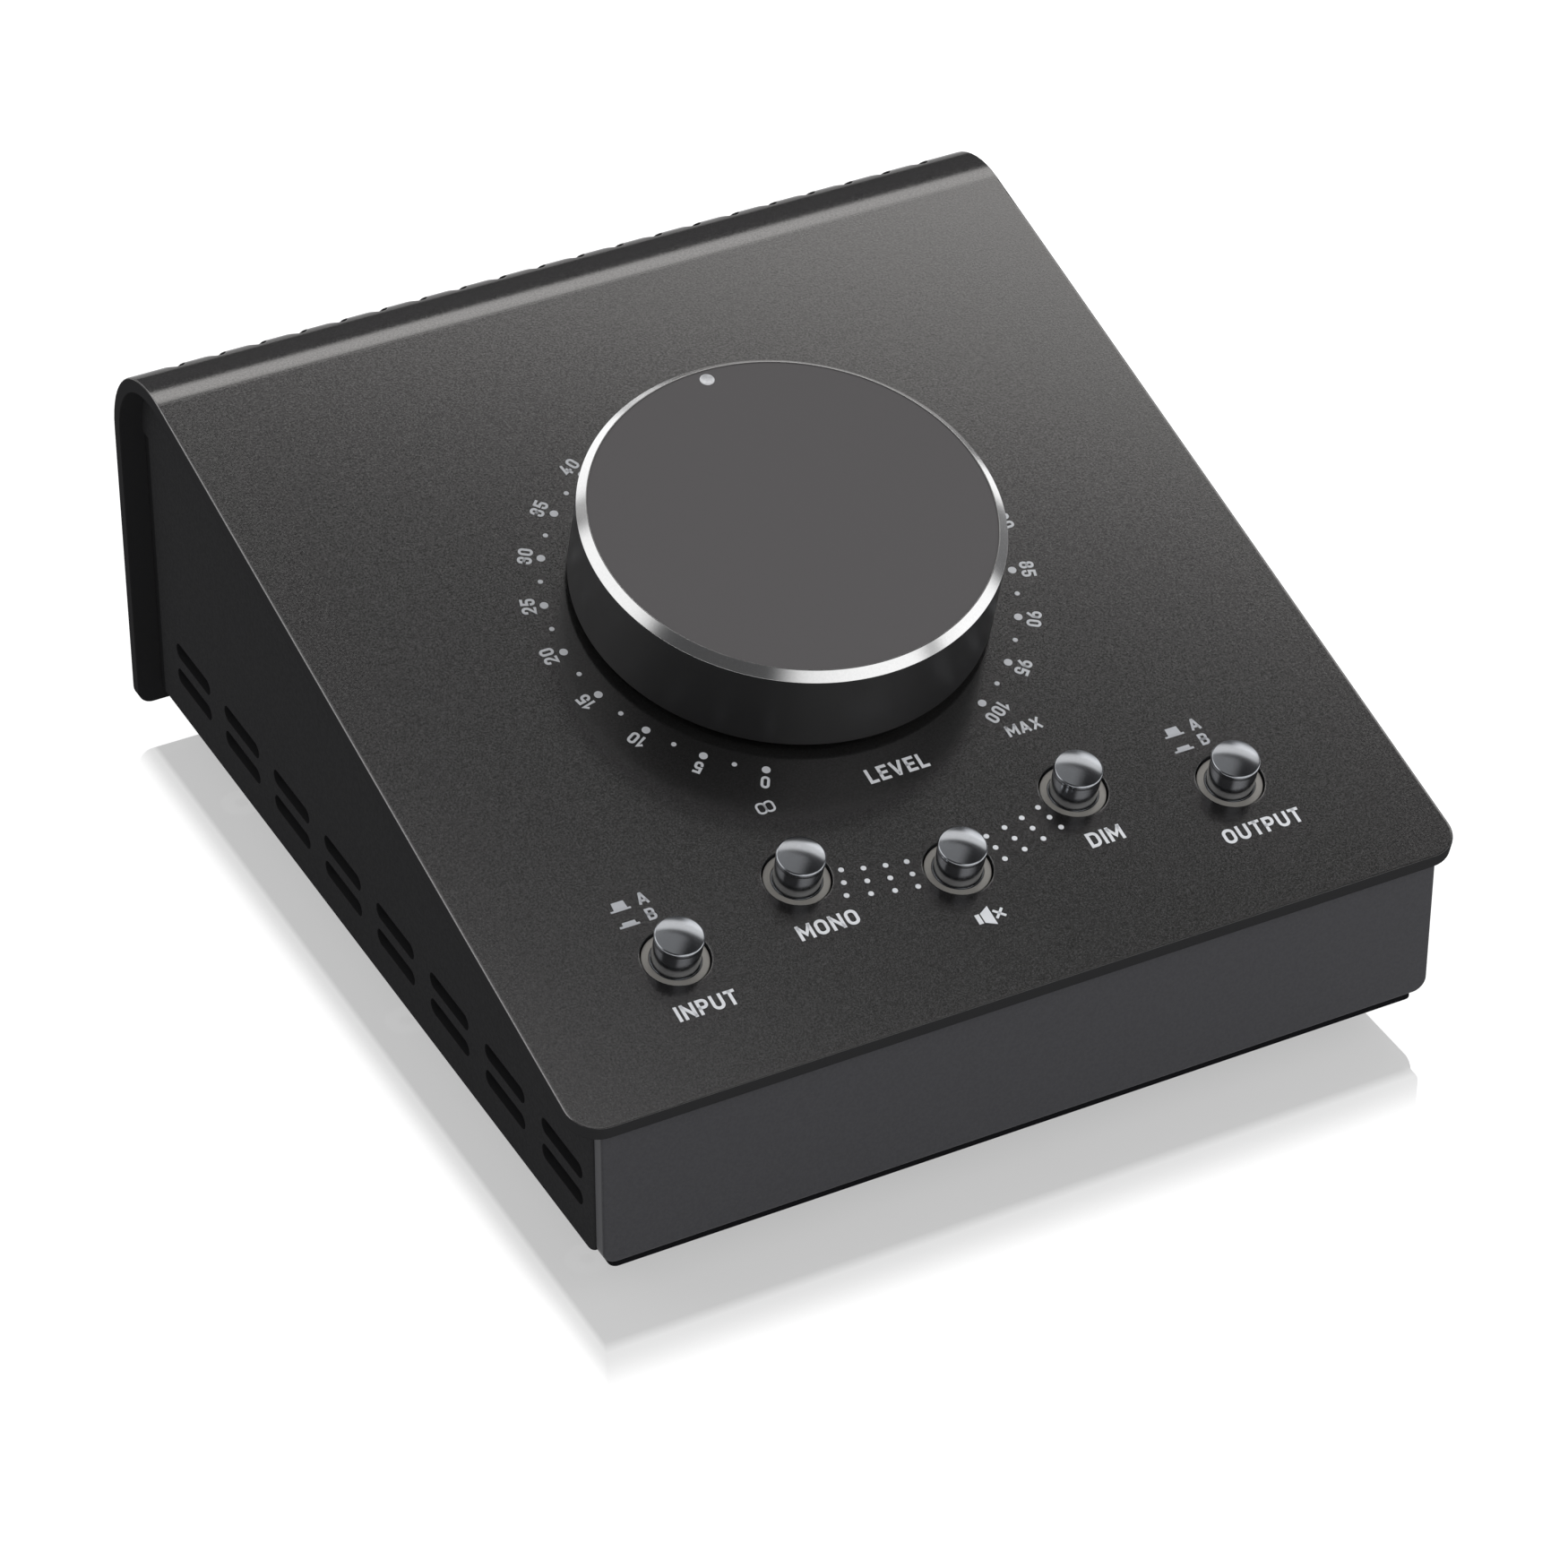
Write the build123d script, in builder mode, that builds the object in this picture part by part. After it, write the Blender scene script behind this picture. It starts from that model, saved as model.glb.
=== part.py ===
from build123d import *

import os
from math import asin, cos, degrees, radians, sin, tan

# A desktop monitor controller: a wedge-shaped steel chassis under one bent hood plate, with a large
# volume knob, five latching push buttons and a row of jack sockets at the back.
# Millimetres and degrees. X runs along the width, Y to the back, Z up. The origin is on the resting
# surface, under the middle of the hood.

# Hood: one plate, bent down at the back into an apron
hood_width = 128.0
hood_depth = 143.3
hood_thickness = 2.0
panel_slope = 14.8
front_edge_height = 23.1  # top of the hood's front edge above the chassis bottom
bend_radius = 13.5  # outside of the rear bend
apron_drop = 2.2  # how far the apron hangs below the chassis bottom
panel_corner_radius = 4.5
apron_corner_radius = 2.2
edge_break = 0.3

# Cooling slots in the rear bend
bend_slot_count = 20
bend_slot_side_inset = 7.0  # outermost slots' middle, in from the hood's side edges
bend_slot_width = 2.8
bend_slot_top_angle = 68.0  # upper end, measured around the bend from the apron's face
bend_slot_bottom_gap = 1.0  # lower end, above the rear plate's top edge

# Chassis
side_overhang = 3.3
front_overhang = 1.4
seam_gap = 0.05
wall_thickness = 1.5
wall_edge_radius = 0.6
wall_corner_radius = 2.0
flange_width = 8.5
flange_screw_inset = 5.2  # screw line, in from the wall's outer face
flange_relief_length = 20.0  # stretch behind the bend where the wall has no flange
flange_relief_drop = 3.0
front_plate_thickness = 2.0
front_plate_end_inset = 0.3
front_plate_corner_radius = 2.0
rear_plate_thickness = 2.0
rear_plate_bend_gap = 0.6  # top edge below the start of the hood's bend
base_thickness = 1.5
base_side_inset = 1.8
base_end_inset = 0.9
base_corner_radius = 1.0

# Cooling slots in the side walls
vent_columns = 8
vent_rows = 2
vent_row_pitch = 4.26
vent_length = 11.7
vent_height = 2.45
vent_front_inset = 8.8  # first column's centre, behind the wall's front edge
vent_rear_inset = 11.17  # last column's centre, ahead of the wall's rear edge
vent_centre_height = 9.17  # middle of the rows above the chassis bottom

# Rubber feet
foot_height = 5.35
foot_radius = 6.5
foot_draft = 4.0
foot_inset = 15.5
foot_bore_radius = 1.7
foot_recess_radius = 3.2
foot_recess_depth = 2.6
foot_edge_radius = 0.5

# Small screws, studs and nuts
screw_radius = 1.5
screw_clearance = 0.05
pan_head_radius = 2.75
pan_head_height = 1.9
pan_head_round = 0.6
hex_recess_radius = 1.1
hex_recess_depth = 1.1
countersunk_head_radius = 2.9
countersink_angle = 90.0
nut_across_flats = 5.5
nut_height = 2.4
stud_length = 5.0
base_screw_length = 6.0
base_screw_end_inset = 13.0  # outer screws, in from the walls' ends
base_screw_count = 3
foot_screw_length = 7.0
rear_screw_length = 6.0
rear_screw_pitch = 28.0
rear_screw_centre = 21.0  # middle of the pair above the chassis bottom
front_stud_pitch = 9.0
front_stud_centre = 10.0  # middle of the pair above the chassis bottom
hood_stud_front_inset = 20.0  # along the panel from its front edge
hood_stud_rear_gap = 36.2  # along the slope, to the corner that the rear bend rounds off

# Volume knob
knob_position = 72.1  # along the panel from its front edge
knob_radius = 28.4
knob_top_height = 14.7
knob_skirt_gap = 1.4
knob_chamfer_width = 1.2
knob_chamfer_height = 1.05
knob_lip_width = 0.15
knob_face_recess = 0.1
knob_shell_wall = 1.6
knob_shell_top = 1.8
knob_core_wall = 2.0
knob_core_web = 2.2
knob_core_recess = 0.6
hub_radius = 6.5
hub_bottom_height = 4.0
hub_ring_width = 0.8
hub_ring_height = 2.0
hub_ring_lift = 0.8
indicator_radius = 1.0
indicator_orbit = 25.5
indicator_depth = 1.2
indicator_dish_radius = 2.2
indicator_dish_depth = 0.2

# Potentiometer
pot_side = 25.0
pot_depth = 13.0
pot_corner_radius = 2.0
pot_top_wall = 2.0
pot_floor = 1.5
pot_cavity_radius = 10.5
bushing_radius = 4.5
bushing_clearance = 0.1
bushing_proud = 3.5
shaft_radius = 3.0
shaft_running_clearance = 0.05
shaft_flat_depth = 1.5
shaft_flat_length = 8.3
shaft_end_gap = 0.9  # under the top of the knob's shell
rotor_radius = 9.5
rotor_thickness = 2.0
rotor_gap = 1.5
shaft_tail = 2.0
washer_radius = 7.4
washer_thickness = 0.6
pot_nut_across_flats = 12.0
pot_nut_height = 2.4

# Push buttons
button_names = ["source", "mono", "mute", "dim", "monitor"]
button_side_inset = 23.6  # outer buttons, in from the hood's side edges
button_row_position = 21.2
raised_button_offset = 6.0  # every second button sits this much further up the panel
button_hole_radius = 4.6
button_travel = 3.0
collar_radius = 4.4
collar_recess = 0.4
collar_thickness = 1.4
collar_groove_radius = 3.4
collar_groove_depth = 0.15
neck_radius = 3.18
head_radius = 3.27
head_bottom_height = 3.7
head_side_height = 0.4
head_round = 0.35
dome_height = 0.45
plunger_top_height = 1.5
fit_gap = 0.02  # between round pieces that are pressed or screwed together

# Latching switches under the buttons
switch_side = 8.6
switch_height = 9.2
switch_top_wall = 1.5
switch_edge = 0.5
switch_cavity_radius = 2.5
plunger_radius = 1.5
plunger_clearance = 0.08
plunger_collar_radius = 2.2
plunger_collar_height = 1.4
plunger_collar_gap = 0.3

# Control board, hung under the panel
board_thickness = 1.6
control_board_side_gap = 7.2  # to the side walls
control_board_front = 12.0
control_board_rear_gap = 54.2  # along the slope, to the same corner as the rear studs
standoff_radius = 2.5
standoff_side_inset = 3.5
standoff_end_inset = 5.0
board_screw_length = 6.0

# Jack sockets in the rear plate
jack_names = ["input_left_jack", "input_right_jack", "mini_input_jack", "output_a_left_jack"]
jack_names += ["output_a_right_jack", "output_b_left_jack", "output_b_right_jack"]
mini_jack_name = "mini_input_jack"
jack_flange_gap = 0.7  # from the outer sockets to the side walls' flanges
jack_body_gap = 2.0  # between neighbouring socket bodies
jack_height = 20.0  # socket axis above the chassis bottom
jack_body_height = 15.0
jack_body_depth = 22.0
jack_bushing_radius = 5.5
jack_bore_radius = 3.25
jack_bore_length = 24.0
jack_nut_across_flats = 12.5
jack_nut_height = 1.7
jack_end_recess = 0.3  # bushing end below the apron's face
mini_jack_body_width = 9.0
mini_jack_body_top = 4.5
mini_jack_body_depth = 13.0
mini_jack_bushing_radius = 3.0
mini_jack_bore_radius = 1.8
mini_jack_bore_length = 14.0
mini_jack_nut_across_flats = 8.0

# Window in the apron that leaves the sockets free
window_margin = 3.4
window_height = 20.0
window_corner_radius = 3.0

# Jack board and its link to the control board
jack_board_side_gap = 8.2  # to the side walls
jack_board_length = 30.0
jack_board_rear_gap = 1.0
jack_standoff_inset = 4.0
jack_standoff_side_inset = 12.0
header_width = 18.0
header_depth = 6.0
header_height = 8.0
header_edge_inset = 1.0
ribbon_width = 15.0
ribbon_thickness = 1.0
ribbon_bend_radius = 4.0

# Where things stand, worked out from the values above
slope = radians(panel_slope)
chassis_z = foot_height + base_thickness + seam_gap
front_edge_y = -hood_depth / 2
rear_face_y = hood_depth / 2
front_edge_z = chassis_z + front_edge_height
apron_bottom_z = chassis_z - apron_drop
apron_inner_y = rear_face_y - hood_thickness
wall_x = hood_width / 2 - side_overhang
plate_half_width = wall_x - front_plate_end_inset
front_plate_y = front_edge_y + front_overhang
wall_front_y = front_plate_y + front_plate_thickness + seam_gap
rear_plate_outer_y = apron_inner_y - seam_gap
rear_plate_inner_y = rear_plate_outer_y - rear_plate_thickness
wall_rear_y = rear_plate_inner_y - seam_gap
bend_centre_y = rear_face_y - bend_radius
bend_slot_pitch = (hood_width - 2 * bend_slot_side_inset) / (bend_slot_count - 1)
button_pitch = (hood_width - 2 * button_side_inset) / (len(button_names) - 1)
vent_pitch = (wall_rear_y - wall_front_y - vent_front_inset - vent_rear_inset) / (vent_columns - 1)
flange_screw_x = wall_x - flange_screw_inset
jack_axis_z = chassis_z + jack_height
jack_row_half_width = wall_x - flange_width - jack_flange_gap
jack_pitch = (2 * jack_row_half_width + jack_body_gap) / len(jack_names)
jack_body_width = jack_pitch - jack_body_gap
screw_hole_radius = screw_radius + screw_clearance
control_board_width = 2 * (wall_x - wall_thickness - control_board_side_gap)
rear_corner_position = hood_depth / cos(slope)  # along the slope, where the bend's two tangents meet
control_board_length = rear_corner_position - control_board_rear_gap - control_board_front
shell_underside = knob_top_height - knob_shell_top
shaft_top_height = shell_underside - shaft_end_gap
jack_board_width = 2 * (wall_x - wall_thickness - jack_board_side_gap)
board_height = -hood_thickness - pot_depth  # top of the control board, from the panel's top face
switch_top_height = board_height + switch_height

hanging = (Align.CENTER, Align.CENTER, Align.MAX)
standing = (Align.CENTER, Align.CENTER, Align.MIN)

# Panel frame: local x along the width, local y up the slope from the front edge, local z out of the
# panel. A sketch on Plane.YZ takes (y, z).
panel = Plane(origin=(0, front_edge_y, front_edge_z), x_dir=(1, 0, 0), z_dir=(0, -sin(slope), cos(slope)))
panel_underside = panel.offset(-hood_thickness)
knob_point = (0, knob_position)


def upright(y, height=0.0):
    """Plane across the object at this y, looking to the back: local x to the left, local y up."""
    return Plane(origin=(0, y, height), x_dir=(-1, 0, 0), z_dir=(0, 1, 0))


def facing_down(plane):
    """The plane turned over: local x to the left, local y as before, local z downwards."""
    return Plane(origin=plane.origin, x_dir=(-1, 0, 0), z_dir=-plane.z_dir)


def depth_line_z(y, depth):
    """Height at y of the line that runs parallel to the panel, this far below its top face."""
    return front_edge_z - depth / cos(slope) + (y - front_edge_y) * tan(slope)


def panel_point(position, height):
    """The (y, z) of a point this far up the slope and this far out of the panel."""
    y = front_edge_y + position * cos(slope) - height * sin(slope)
    z = front_edge_z + position * sin(slope) + height * cos(slope)
    return y, z


bend_centre_z = depth_line_z(bend_centre_y, bend_radius)
rear_plate_top_z = bend_centre_z - rear_plate_bend_gap


def pair(middle, pitch):
    return middle - pitch / 2, middle + pitch / 2


def save(piece, node):
    piece.part.label = node
    export_step(piece.part, f"parts/{node}.step")


button_points = {}
for index, button in enumerate(button_names):
    across = (index - (len(button_names) - 1) / 2) * button_pitch
    button_points[button] = (across, button_row_position + index % 2 * raised_button_offset)

# Sockets by their place on an upright plane, from the left side to the right
jack_points = {}
for index, jack in enumerate(jack_names):
    jack_points[jack] = (((len(jack_names) - 1) / 2 - index) * jack_pitch, 0)
mini_jack_point = jack_points[mini_jack_name]
large_jack_points = [point for jack, point in jack_points.items() if jack != mini_jack_name]

first_base_screw_y = wall_front_y + base_screw_end_inset
base_screw_pitch = (wall_rear_y - base_screw_end_inset - first_base_screw_y) / (base_screw_count - 1)
base_screw_ys = [first_base_screw_y + row * base_screw_pitch for row in range(base_screw_count)]
hood_stud_rows = (hood_stud_front_inset, rear_corner_position - hood_stud_rear_gap)
front_stud_rows = pair(chassis_z + front_stud_centre, front_stud_pitch)
rear_screw_rows = pair(chassis_z + rear_screw_centre, rear_screw_pitch)
flange_columns = (-flange_screw_x, flange_screw_x)
hood_stud_points = [(x, row) for x in flange_columns for row in hood_stud_rows]
front_stud_points = [(x, row) for x in flange_columns for row in front_stud_rows]
rear_screw_points = [(x, row) for x in flange_columns for row in rear_screw_rows]
base_screw_points = [(x, y) for x in flange_columns for y in base_screw_ys]
foot_columns = (-wall_x + foot_inset, wall_x - foot_inset)
foot_points = [(x, y) for x in foot_columns for y in (front_plate_y + foot_inset, wall_rear_y - foot_inset)]
standoff_rows = (
    control_board_front + standoff_end_inset,
    control_board_front + control_board_length - standoff_end_inset,
)
standoff_columns = pair(0, control_board_width - 2 * standoff_side_inset)
standoff_points = [(x, row) for x in standoff_columns for row in standoff_rows]
jack_board_top_z = jack_axis_z - jack_body_height / 2
jack_board_rear_y = rear_plate_inner_y - jack_board_rear_gap
jack_board_front_y = jack_board_rear_y - jack_board_length
jack_standoff_columns = pair(0, jack_board_width - 2 * jack_standoff_side_inset)
jack_standoff_points = [(x, jack_board_front_y + jack_standoff_inset) for x in jack_standoff_columns]


def pan_head_screws(plane, points, length):
    """Screws whose heads sit on the plane and whose shanks run down from it."""
    with BuildPart() as piece:
        with Locations(plane):
            with Locations(*points):
                Cylinder(screw_radius, length, align=hanging)
                Cylinder(pan_head_radius, pan_head_height, align=standing)
        crowns = piece.edges().group_by(Axis(plane.origin, plane.z_dir))[-1]
        fillet(crowns, pan_head_round)
        with BuildSketch(plane.offset(pan_head_height)):
            with Locations(*points):
                RegularPolygon(hex_recess_radius, 6)
        extrude(amount=-hex_recess_depth, mode=Mode.SUBTRACT)
    return piece


def countersunk_screws(plane, points, length):
    """Screws whose flat heads are flush with the plane and whose shanks run down from it."""
    head_depth = (countersunk_head_radius - screw_radius) / tan(radians(countersink_angle / 2))
    with BuildPart() as piece:
        with Locations(plane):
            with Locations(*points):
                Cylinder(screw_radius, length, align=hanging)
                Cone(screw_radius, countersunk_head_radius, head_depth, align=hanging)
        with BuildSketch(plane):
            with Locations(*points):
                RegularPolygon(hex_recess_radius, 6)
        extrude(amount=-hex_recess_depth, mode=Mode.SUBTRACT)
    return piece


def countersunk_holes(plane, points, depth):
    """Cuts holes for flat-headed screws, straight down from the plane, in the open part."""
    with Locations(plane):
        with Locations(*points):
            CounterSinkHole(
                screw_hole_radius, countersunk_head_radius + screw_clearance, depth, countersink_angle
            )


def drilled_holes(plane, points, radius, depth):
    """Cuts round holes straight down from the plane in the open part."""
    with Locations(plane):
        with Locations(*points):
            Cylinder(radius, depth, align=hanging, mode=Mode.SUBTRACT)


def posts(plane, points, radius, length, bore_radius=0.0):
    """Round posts that stand on the plane, with a bore from end to end where one is given."""
    with BuildPart() as piece:
        with BuildSketch(plane):
            with Locations(*points):
                Circle(radius)
                if bore_radius:
                    Circle(bore_radius, mode=Mode.SUBTRACT)
        extrude(amount=length)
    return piece


def hex_nuts(plane, points, across_flats, bore_radius, height):
    """Nuts that stand on the plane, two of their flats facing sideways."""
    with BuildPart() as piece:
        with BuildSketch(plane):
            with Locations(*points):
                RegularPolygon(across_flats / 2, 6, major_radius=False, rotation=90)
                Circle(bore_radius, mode=Mode.SUBTRACT)
        extrude(amount=height)
    return piece


os.makedirs("parts", exist_ok=True)

# ---------------------------------------------------------------- hood
with BuildPart() as top_hood:
    outer_corner = (rear_face_y, depth_line_z(rear_face_y, 0))
    inner_corner = (apron_inner_y, depth_line_z(apron_inner_y, hood_thickness))
    inner_front = panel_point(0, -hood_thickness)
    with BuildSketch(Plane.YZ):
        with BuildLine():
            FilletPolyline(
                (front_edge_y, front_edge_z), outer_corner, (rear_face_y, apron_bottom_z), radius=bend_radius
            )
            Line((rear_face_y, apron_bottom_z), (apron_inner_y, apron_bottom_z))
            FilletPolyline(
                (apron_inner_y, apron_bottom_z),
                inner_corner,
                inner_front,
                radius=bend_radius - hood_thickness,
            )
            Line(inner_front, (front_edge_y, front_edge_z))
        make_face()
    extrude(amount=hood_width / 2, both=True)
    panel_normal = Axis((0, 0, 0), panel.z_dir)
    fillet(top_hood.edges().filter_by(panel_normal), panel_corner_radius)
    fillet(top_hood.edges().filter_by(Axis.Y).group_by(Axis.Z)[0], apron_corner_radius)
    front_top_edge = top_hood.edges().filter_by(Axis.X).group_by(Axis.Y)[0]
    fillet(front_top_edge, edge_break)

    # Window behind the sockets
    window_half_width = large_jack_points[0][0] + jack_nut_across_flats / 2 + window_margin
    with BuildSketch(upright(rear_face_y, jack_axis_z)):
        RectangleRounded(2 * window_half_width, window_height, window_corner_radius)
    extrude(amount=-2 * hood_thickness, mode=Mode.SUBTRACT)

    # Slots around the bend, cut from behind
    slot_top_z = bend_centre_z + bend_radius * sin(radians(bend_slot_top_angle))
    slot_bottom_z = rear_plate_top_z + bend_slot_bottom_gap
    with BuildSketch(upright(rear_face_y, (slot_top_z + slot_bottom_z) / 2)):
        with GridLocations(bend_slot_pitch, 1, bend_slot_count, 1):
            SlotOverall(slot_top_z - slot_bottom_z, bend_slot_width, rotation=90)
    extrude(amount=-bend_radius, mode=Mode.SUBTRACT)

    # Holes for the potentiometer's bushing and for the five buttons
    drilled_holes(panel, [knob_point], bushing_radius + bushing_clearance, 2 * hood_thickness)
    drilled_holes(panel, button_points.values(), button_hole_radius, 2 * hood_thickness)
save(top_hood, "top_hood")

hood_studs = posts(panel_underside.offset(-stud_length), hood_stud_points, screw_radius, stud_length)
save(hood_studs, "hood_studs")
hood_nut_plane = panel_underside.offset(-seam_gap - wall_thickness - nut_height)
hood_nuts = hex_nuts(hood_nut_plane, hood_stud_points, nut_across_flats, screw_radius + fit_gap, nut_height)
save(hood_nuts, "hood_nuts")


# ---------------------------------------------------------------- side walls
def wall_outline(x, inset=0.0):
    """Outline of a side wall on the plane at this x, drawn in by the inset."""
    hood_gap_y = apron_inner_y - seam_gap
    hood_gap_depth = hood_thickness + seam_gap
    step_z = rear_plate_top_z + seam_gap
    top_front = (wall_front_y, depth_line_z(wall_front_y, hood_gap_depth))
    bottom_rear = (wall_rear_y, chassis_z)
    with BuildSketch(Plane.YZ.offset(x)) as outline:
        with BuildLine():
            FilletPolyline(
                (hood_gap_y, step_z),
                (hood_gap_y, depth_line_z(hood_gap_y, hood_gap_depth)),
                top_front,
                radius=bend_radius - hood_gap_depth,
            )
            FilletPolyline(top_front, (wall_front_y, chassis_z), bottom_rear, radius=wall_corner_radius)
            Polyline(bottom_rear, (wall_rear_y, step_z), (hood_gap_y, step_z))
        make_face()
        if inset:
            offset(amount=-inset)
    return outline.sketch


def side_wall(side):
    """Folded sheet with flanges turned inwards; side is 1 for the right wall and -1 for the left."""
    inward = -side
    with BuildPart() as wall:
        extrude(wall_outline(side * wall_x), amount=inward * flange_width)
        outer_face = wall.faces().filter_by(Axis.X).sort_by(Axis((0, 0, 0), (side, 0, 0)))[-1]
        fillet(outer_face.edges().sort_by(Axis.Z)[0], wall_edge_radius)
        inner_x = side * (wall_x - wall_thickness)
        extrude(wall_outline(inner_x, wall_thickness), amount=inward * flange_width, mode=Mode.SUBTRACT)

        # No flange along the bend, where it would cover the hood's outer slots
        relief_z = rear_plate_top_z - flange_relief_drop
        with BuildSketch(Plane.YZ.offset(inner_x)):
            with Locations((rear_face_y - flange_relief_length, relief_z)):
                Rectangle(hood_depth, hood_depth, align=(Align.MIN, Align.MIN))
        extrude(amount=inward * flange_width, mode=Mode.SUBTRACT)

        vent_centre_y = wall_front_y + vent_front_inset + (vent_columns - 1) * vent_pitch / 2
        with BuildSketch(Plane.YZ.offset(side * wall_x)):
            with Locations((vent_centre_y, chassis_z + vent_centre_height)):
                with GridLocations(vent_pitch, vent_row_pitch, vent_columns, vent_rows):
                    SlotOverall(vent_length, vent_height)
        extrude(amount=inward * 2 * wall_thickness, mode=Mode.SUBTRACT)

        screw_x = side * flange_screw_x
        front_points = [(-screw_x, row) for row in front_stud_rows]
        rear_points = [(-screw_x, row) for row in rear_screw_rows]
        bore = (screw_hole_radius, 2 * wall_thickness)
        drilled_holes(panel_underside, [(screw_x, row) for row in hood_stud_rows], *bore)
        base_screw_holes = [(screw_x, y) for y in base_screw_ys]
        drilled_holes(Plane.XY.offset(chassis_z + wall_thickness), base_screw_holes, *bore)
        drilled_holes(upright(wall_front_y + wall_thickness), front_points, *bore)
        drilled_holes(upright(wall_rear_y), rear_points, *bore)
    return wall


left_wall = side_wall(-1)
save(left_wall, "left_wall")
right_wall = side_wall(1)
save(right_wall, "right_wall")

# ---------------------------------------------------------------- front plate
with BuildPart() as front_plate:
    front_plate_inner_y = front_plate_y + front_plate_thickness
    with BuildSketch(Plane.YZ):
        with BuildLine():
            Polyline(
                (front_plate_y, chassis_z),
                (front_plate_inner_y, chassis_z),
                (front_plate_inner_y, depth_line_z(front_plate_inner_y, hood_thickness + seam_gap)),
                (front_plate_y, depth_line_z(front_plate_y, hood_thickness + seam_gap)),
                close=True,
            )
        make_face()
    extrude(amount=plate_half_width, both=True)
    fillet(front_plate.edges().filter_by(Axis.Y).group_by(Axis.Z)[0], front_plate_corner_radius)
    outer_bottom = front_plate.edges().filter_by(Axis.X).group_by(Axis.Y)[0].sort_by(Axis.Z)[0]
    fillet(outer_bottom, edge_break)
save(front_plate, "front_plate")

front_studs = posts(upright(front_plate_inner_y), front_stud_points, screw_radius, stud_length)
save(front_studs, "front_studs")
front_nut_plane = upright(wall_front_y + wall_thickness)
front_nuts = hex_nuts(
    front_nut_plane, front_stud_points, nut_across_flats, screw_radius + fit_gap, nut_height
)
save(front_nuts, "front_nuts")

# ---------------------------------------------------------------- rear plate
with BuildPart() as rear_plate:
    with BuildSketch(upright(rear_plate_outer_y, chassis_z)):
        Rectangle(2 * plate_half_width, rear_plate_top_z - chassis_z, align=(Align.CENTER, Align.MIN))
    extrude(amount=-rear_plate_thickness)
    socket_plane = upright(rear_plate_outer_y, jack_axis_z)
    bushing_hole_radius = jack_bushing_radius + bushing_clearance
    drilled_holes(socket_plane, large_jack_points, bushing_hole_radius, rear_plate_thickness)
    mini_hole_radius = mini_jack_bushing_radius + bushing_clearance
    drilled_holes(socket_plane, [mini_jack_point], mini_hole_radius, rear_plate_thickness)
    countersunk_holes(upright(rear_plate_outer_y), rear_screw_points, rear_plate_thickness)
save(rear_plate, "rear_plate")

rear_screws = countersunk_screws(upright(rear_plate_outer_y), rear_screw_points, rear_screw_length)
save(rear_screws, "rear_plate_screws")
rear_nut_plane = upright(wall_rear_y - wall_thickness - nut_height)
rear_nuts = hex_nuts(rear_nut_plane, rear_screw_points, nut_across_flats, screw_radius + fit_gap, nut_height)
save(rear_nuts, "rear_plate_nuts")

# ---------------------------------------------------------------- base plate and feet
base_underside = facing_down(Plane.XY.offset(foot_height))
base_top = Plane.XY.offset(foot_height + base_thickness)
with BuildPart() as base_plate:
    base_front_y = front_plate_y + base_end_inset
    base_rear_y = rear_plate_outer_y - base_end_inset
    with BuildSketch(Plane.XY.offset(foot_height)):
        with Locations((0, (base_front_y + base_rear_y) / 2)):
            RectangleRounded(2 * (wall_x - base_side_inset), base_rear_y - base_front_y, base_corner_radius)
    extrude(amount=base_thickness)
    countersunk_holes(base_underside, base_screw_points, base_thickness)
    drilled_holes(base_top, foot_points, screw_hole_radius, base_thickness)
save(base_plate, "base_plate")

base_screws = countersunk_screws(base_underside, base_screw_points, base_screw_length)
save(base_screws, "base_screws")
base_nut_plane = Plane.XY.offset(chassis_z + wall_thickness)
base_nuts = hex_nuts(base_nut_plane, base_screw_points, nut_across_flats, screw_radius + fit_gap, nut_height)
save(base_nuts, "base_nuts")

with BuildPart() as rubber_feet:
    with BuildSketch(Plane.XY.offset(foot_height)):
        with Locations(*foot_points):
            Circle(foot_radius)
    extrude(amount=-foot_height, taper=foot_draft)
    fillet(rubber_feet.edges().group_by(Axis.Z)[0], foot_edge_radius)
    drilled_holes(Plane.XY.offset(foot_height), foot_points, foot_bore_radius, foot_height)
    drilled_holes(Plane.XY.offset(foot_recess_depth), foot_points, foot_recess_radius, foot_recess_depth)
save(rubber_feet, "rubber_feet")

foot_screw_seat = facing_down(Plane.XY.offset(foot_recess_depth))
foot_screws = pan_head_screws(foot_screw_seat, foot_points, foot_screw_length)
save(foot_screws, "foot_screws")
foot_nuts = hex_nuts(base_top, foot_points, nut_across_flats, screw_radius + fit_gap, nut_height)
save(foot_nuts, "foot_nuts")

# ---------------------------------------------------------------- volume knob
# Round pieces of the knob and potentiometer are drawn as half sections: x is the radius and y the
# height above the panel, on a plane through the knob's axis.
knob_foot = panel.from_local_coords((0, knob_position, 0))
knob_section = Plane(origin=knob_foot, x_dir=(1, 0, 0), z_dir=-panel.y_dir)
knob_axis = Axis(knob_foot, panel.z_dir)
knob_plane = Plane(origin=knob_foot, x_dir=(1, 0, 0), z_dir=panel.z_dir)
shell_bore_radius = knob_radius - knob_shell_wall

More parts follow.
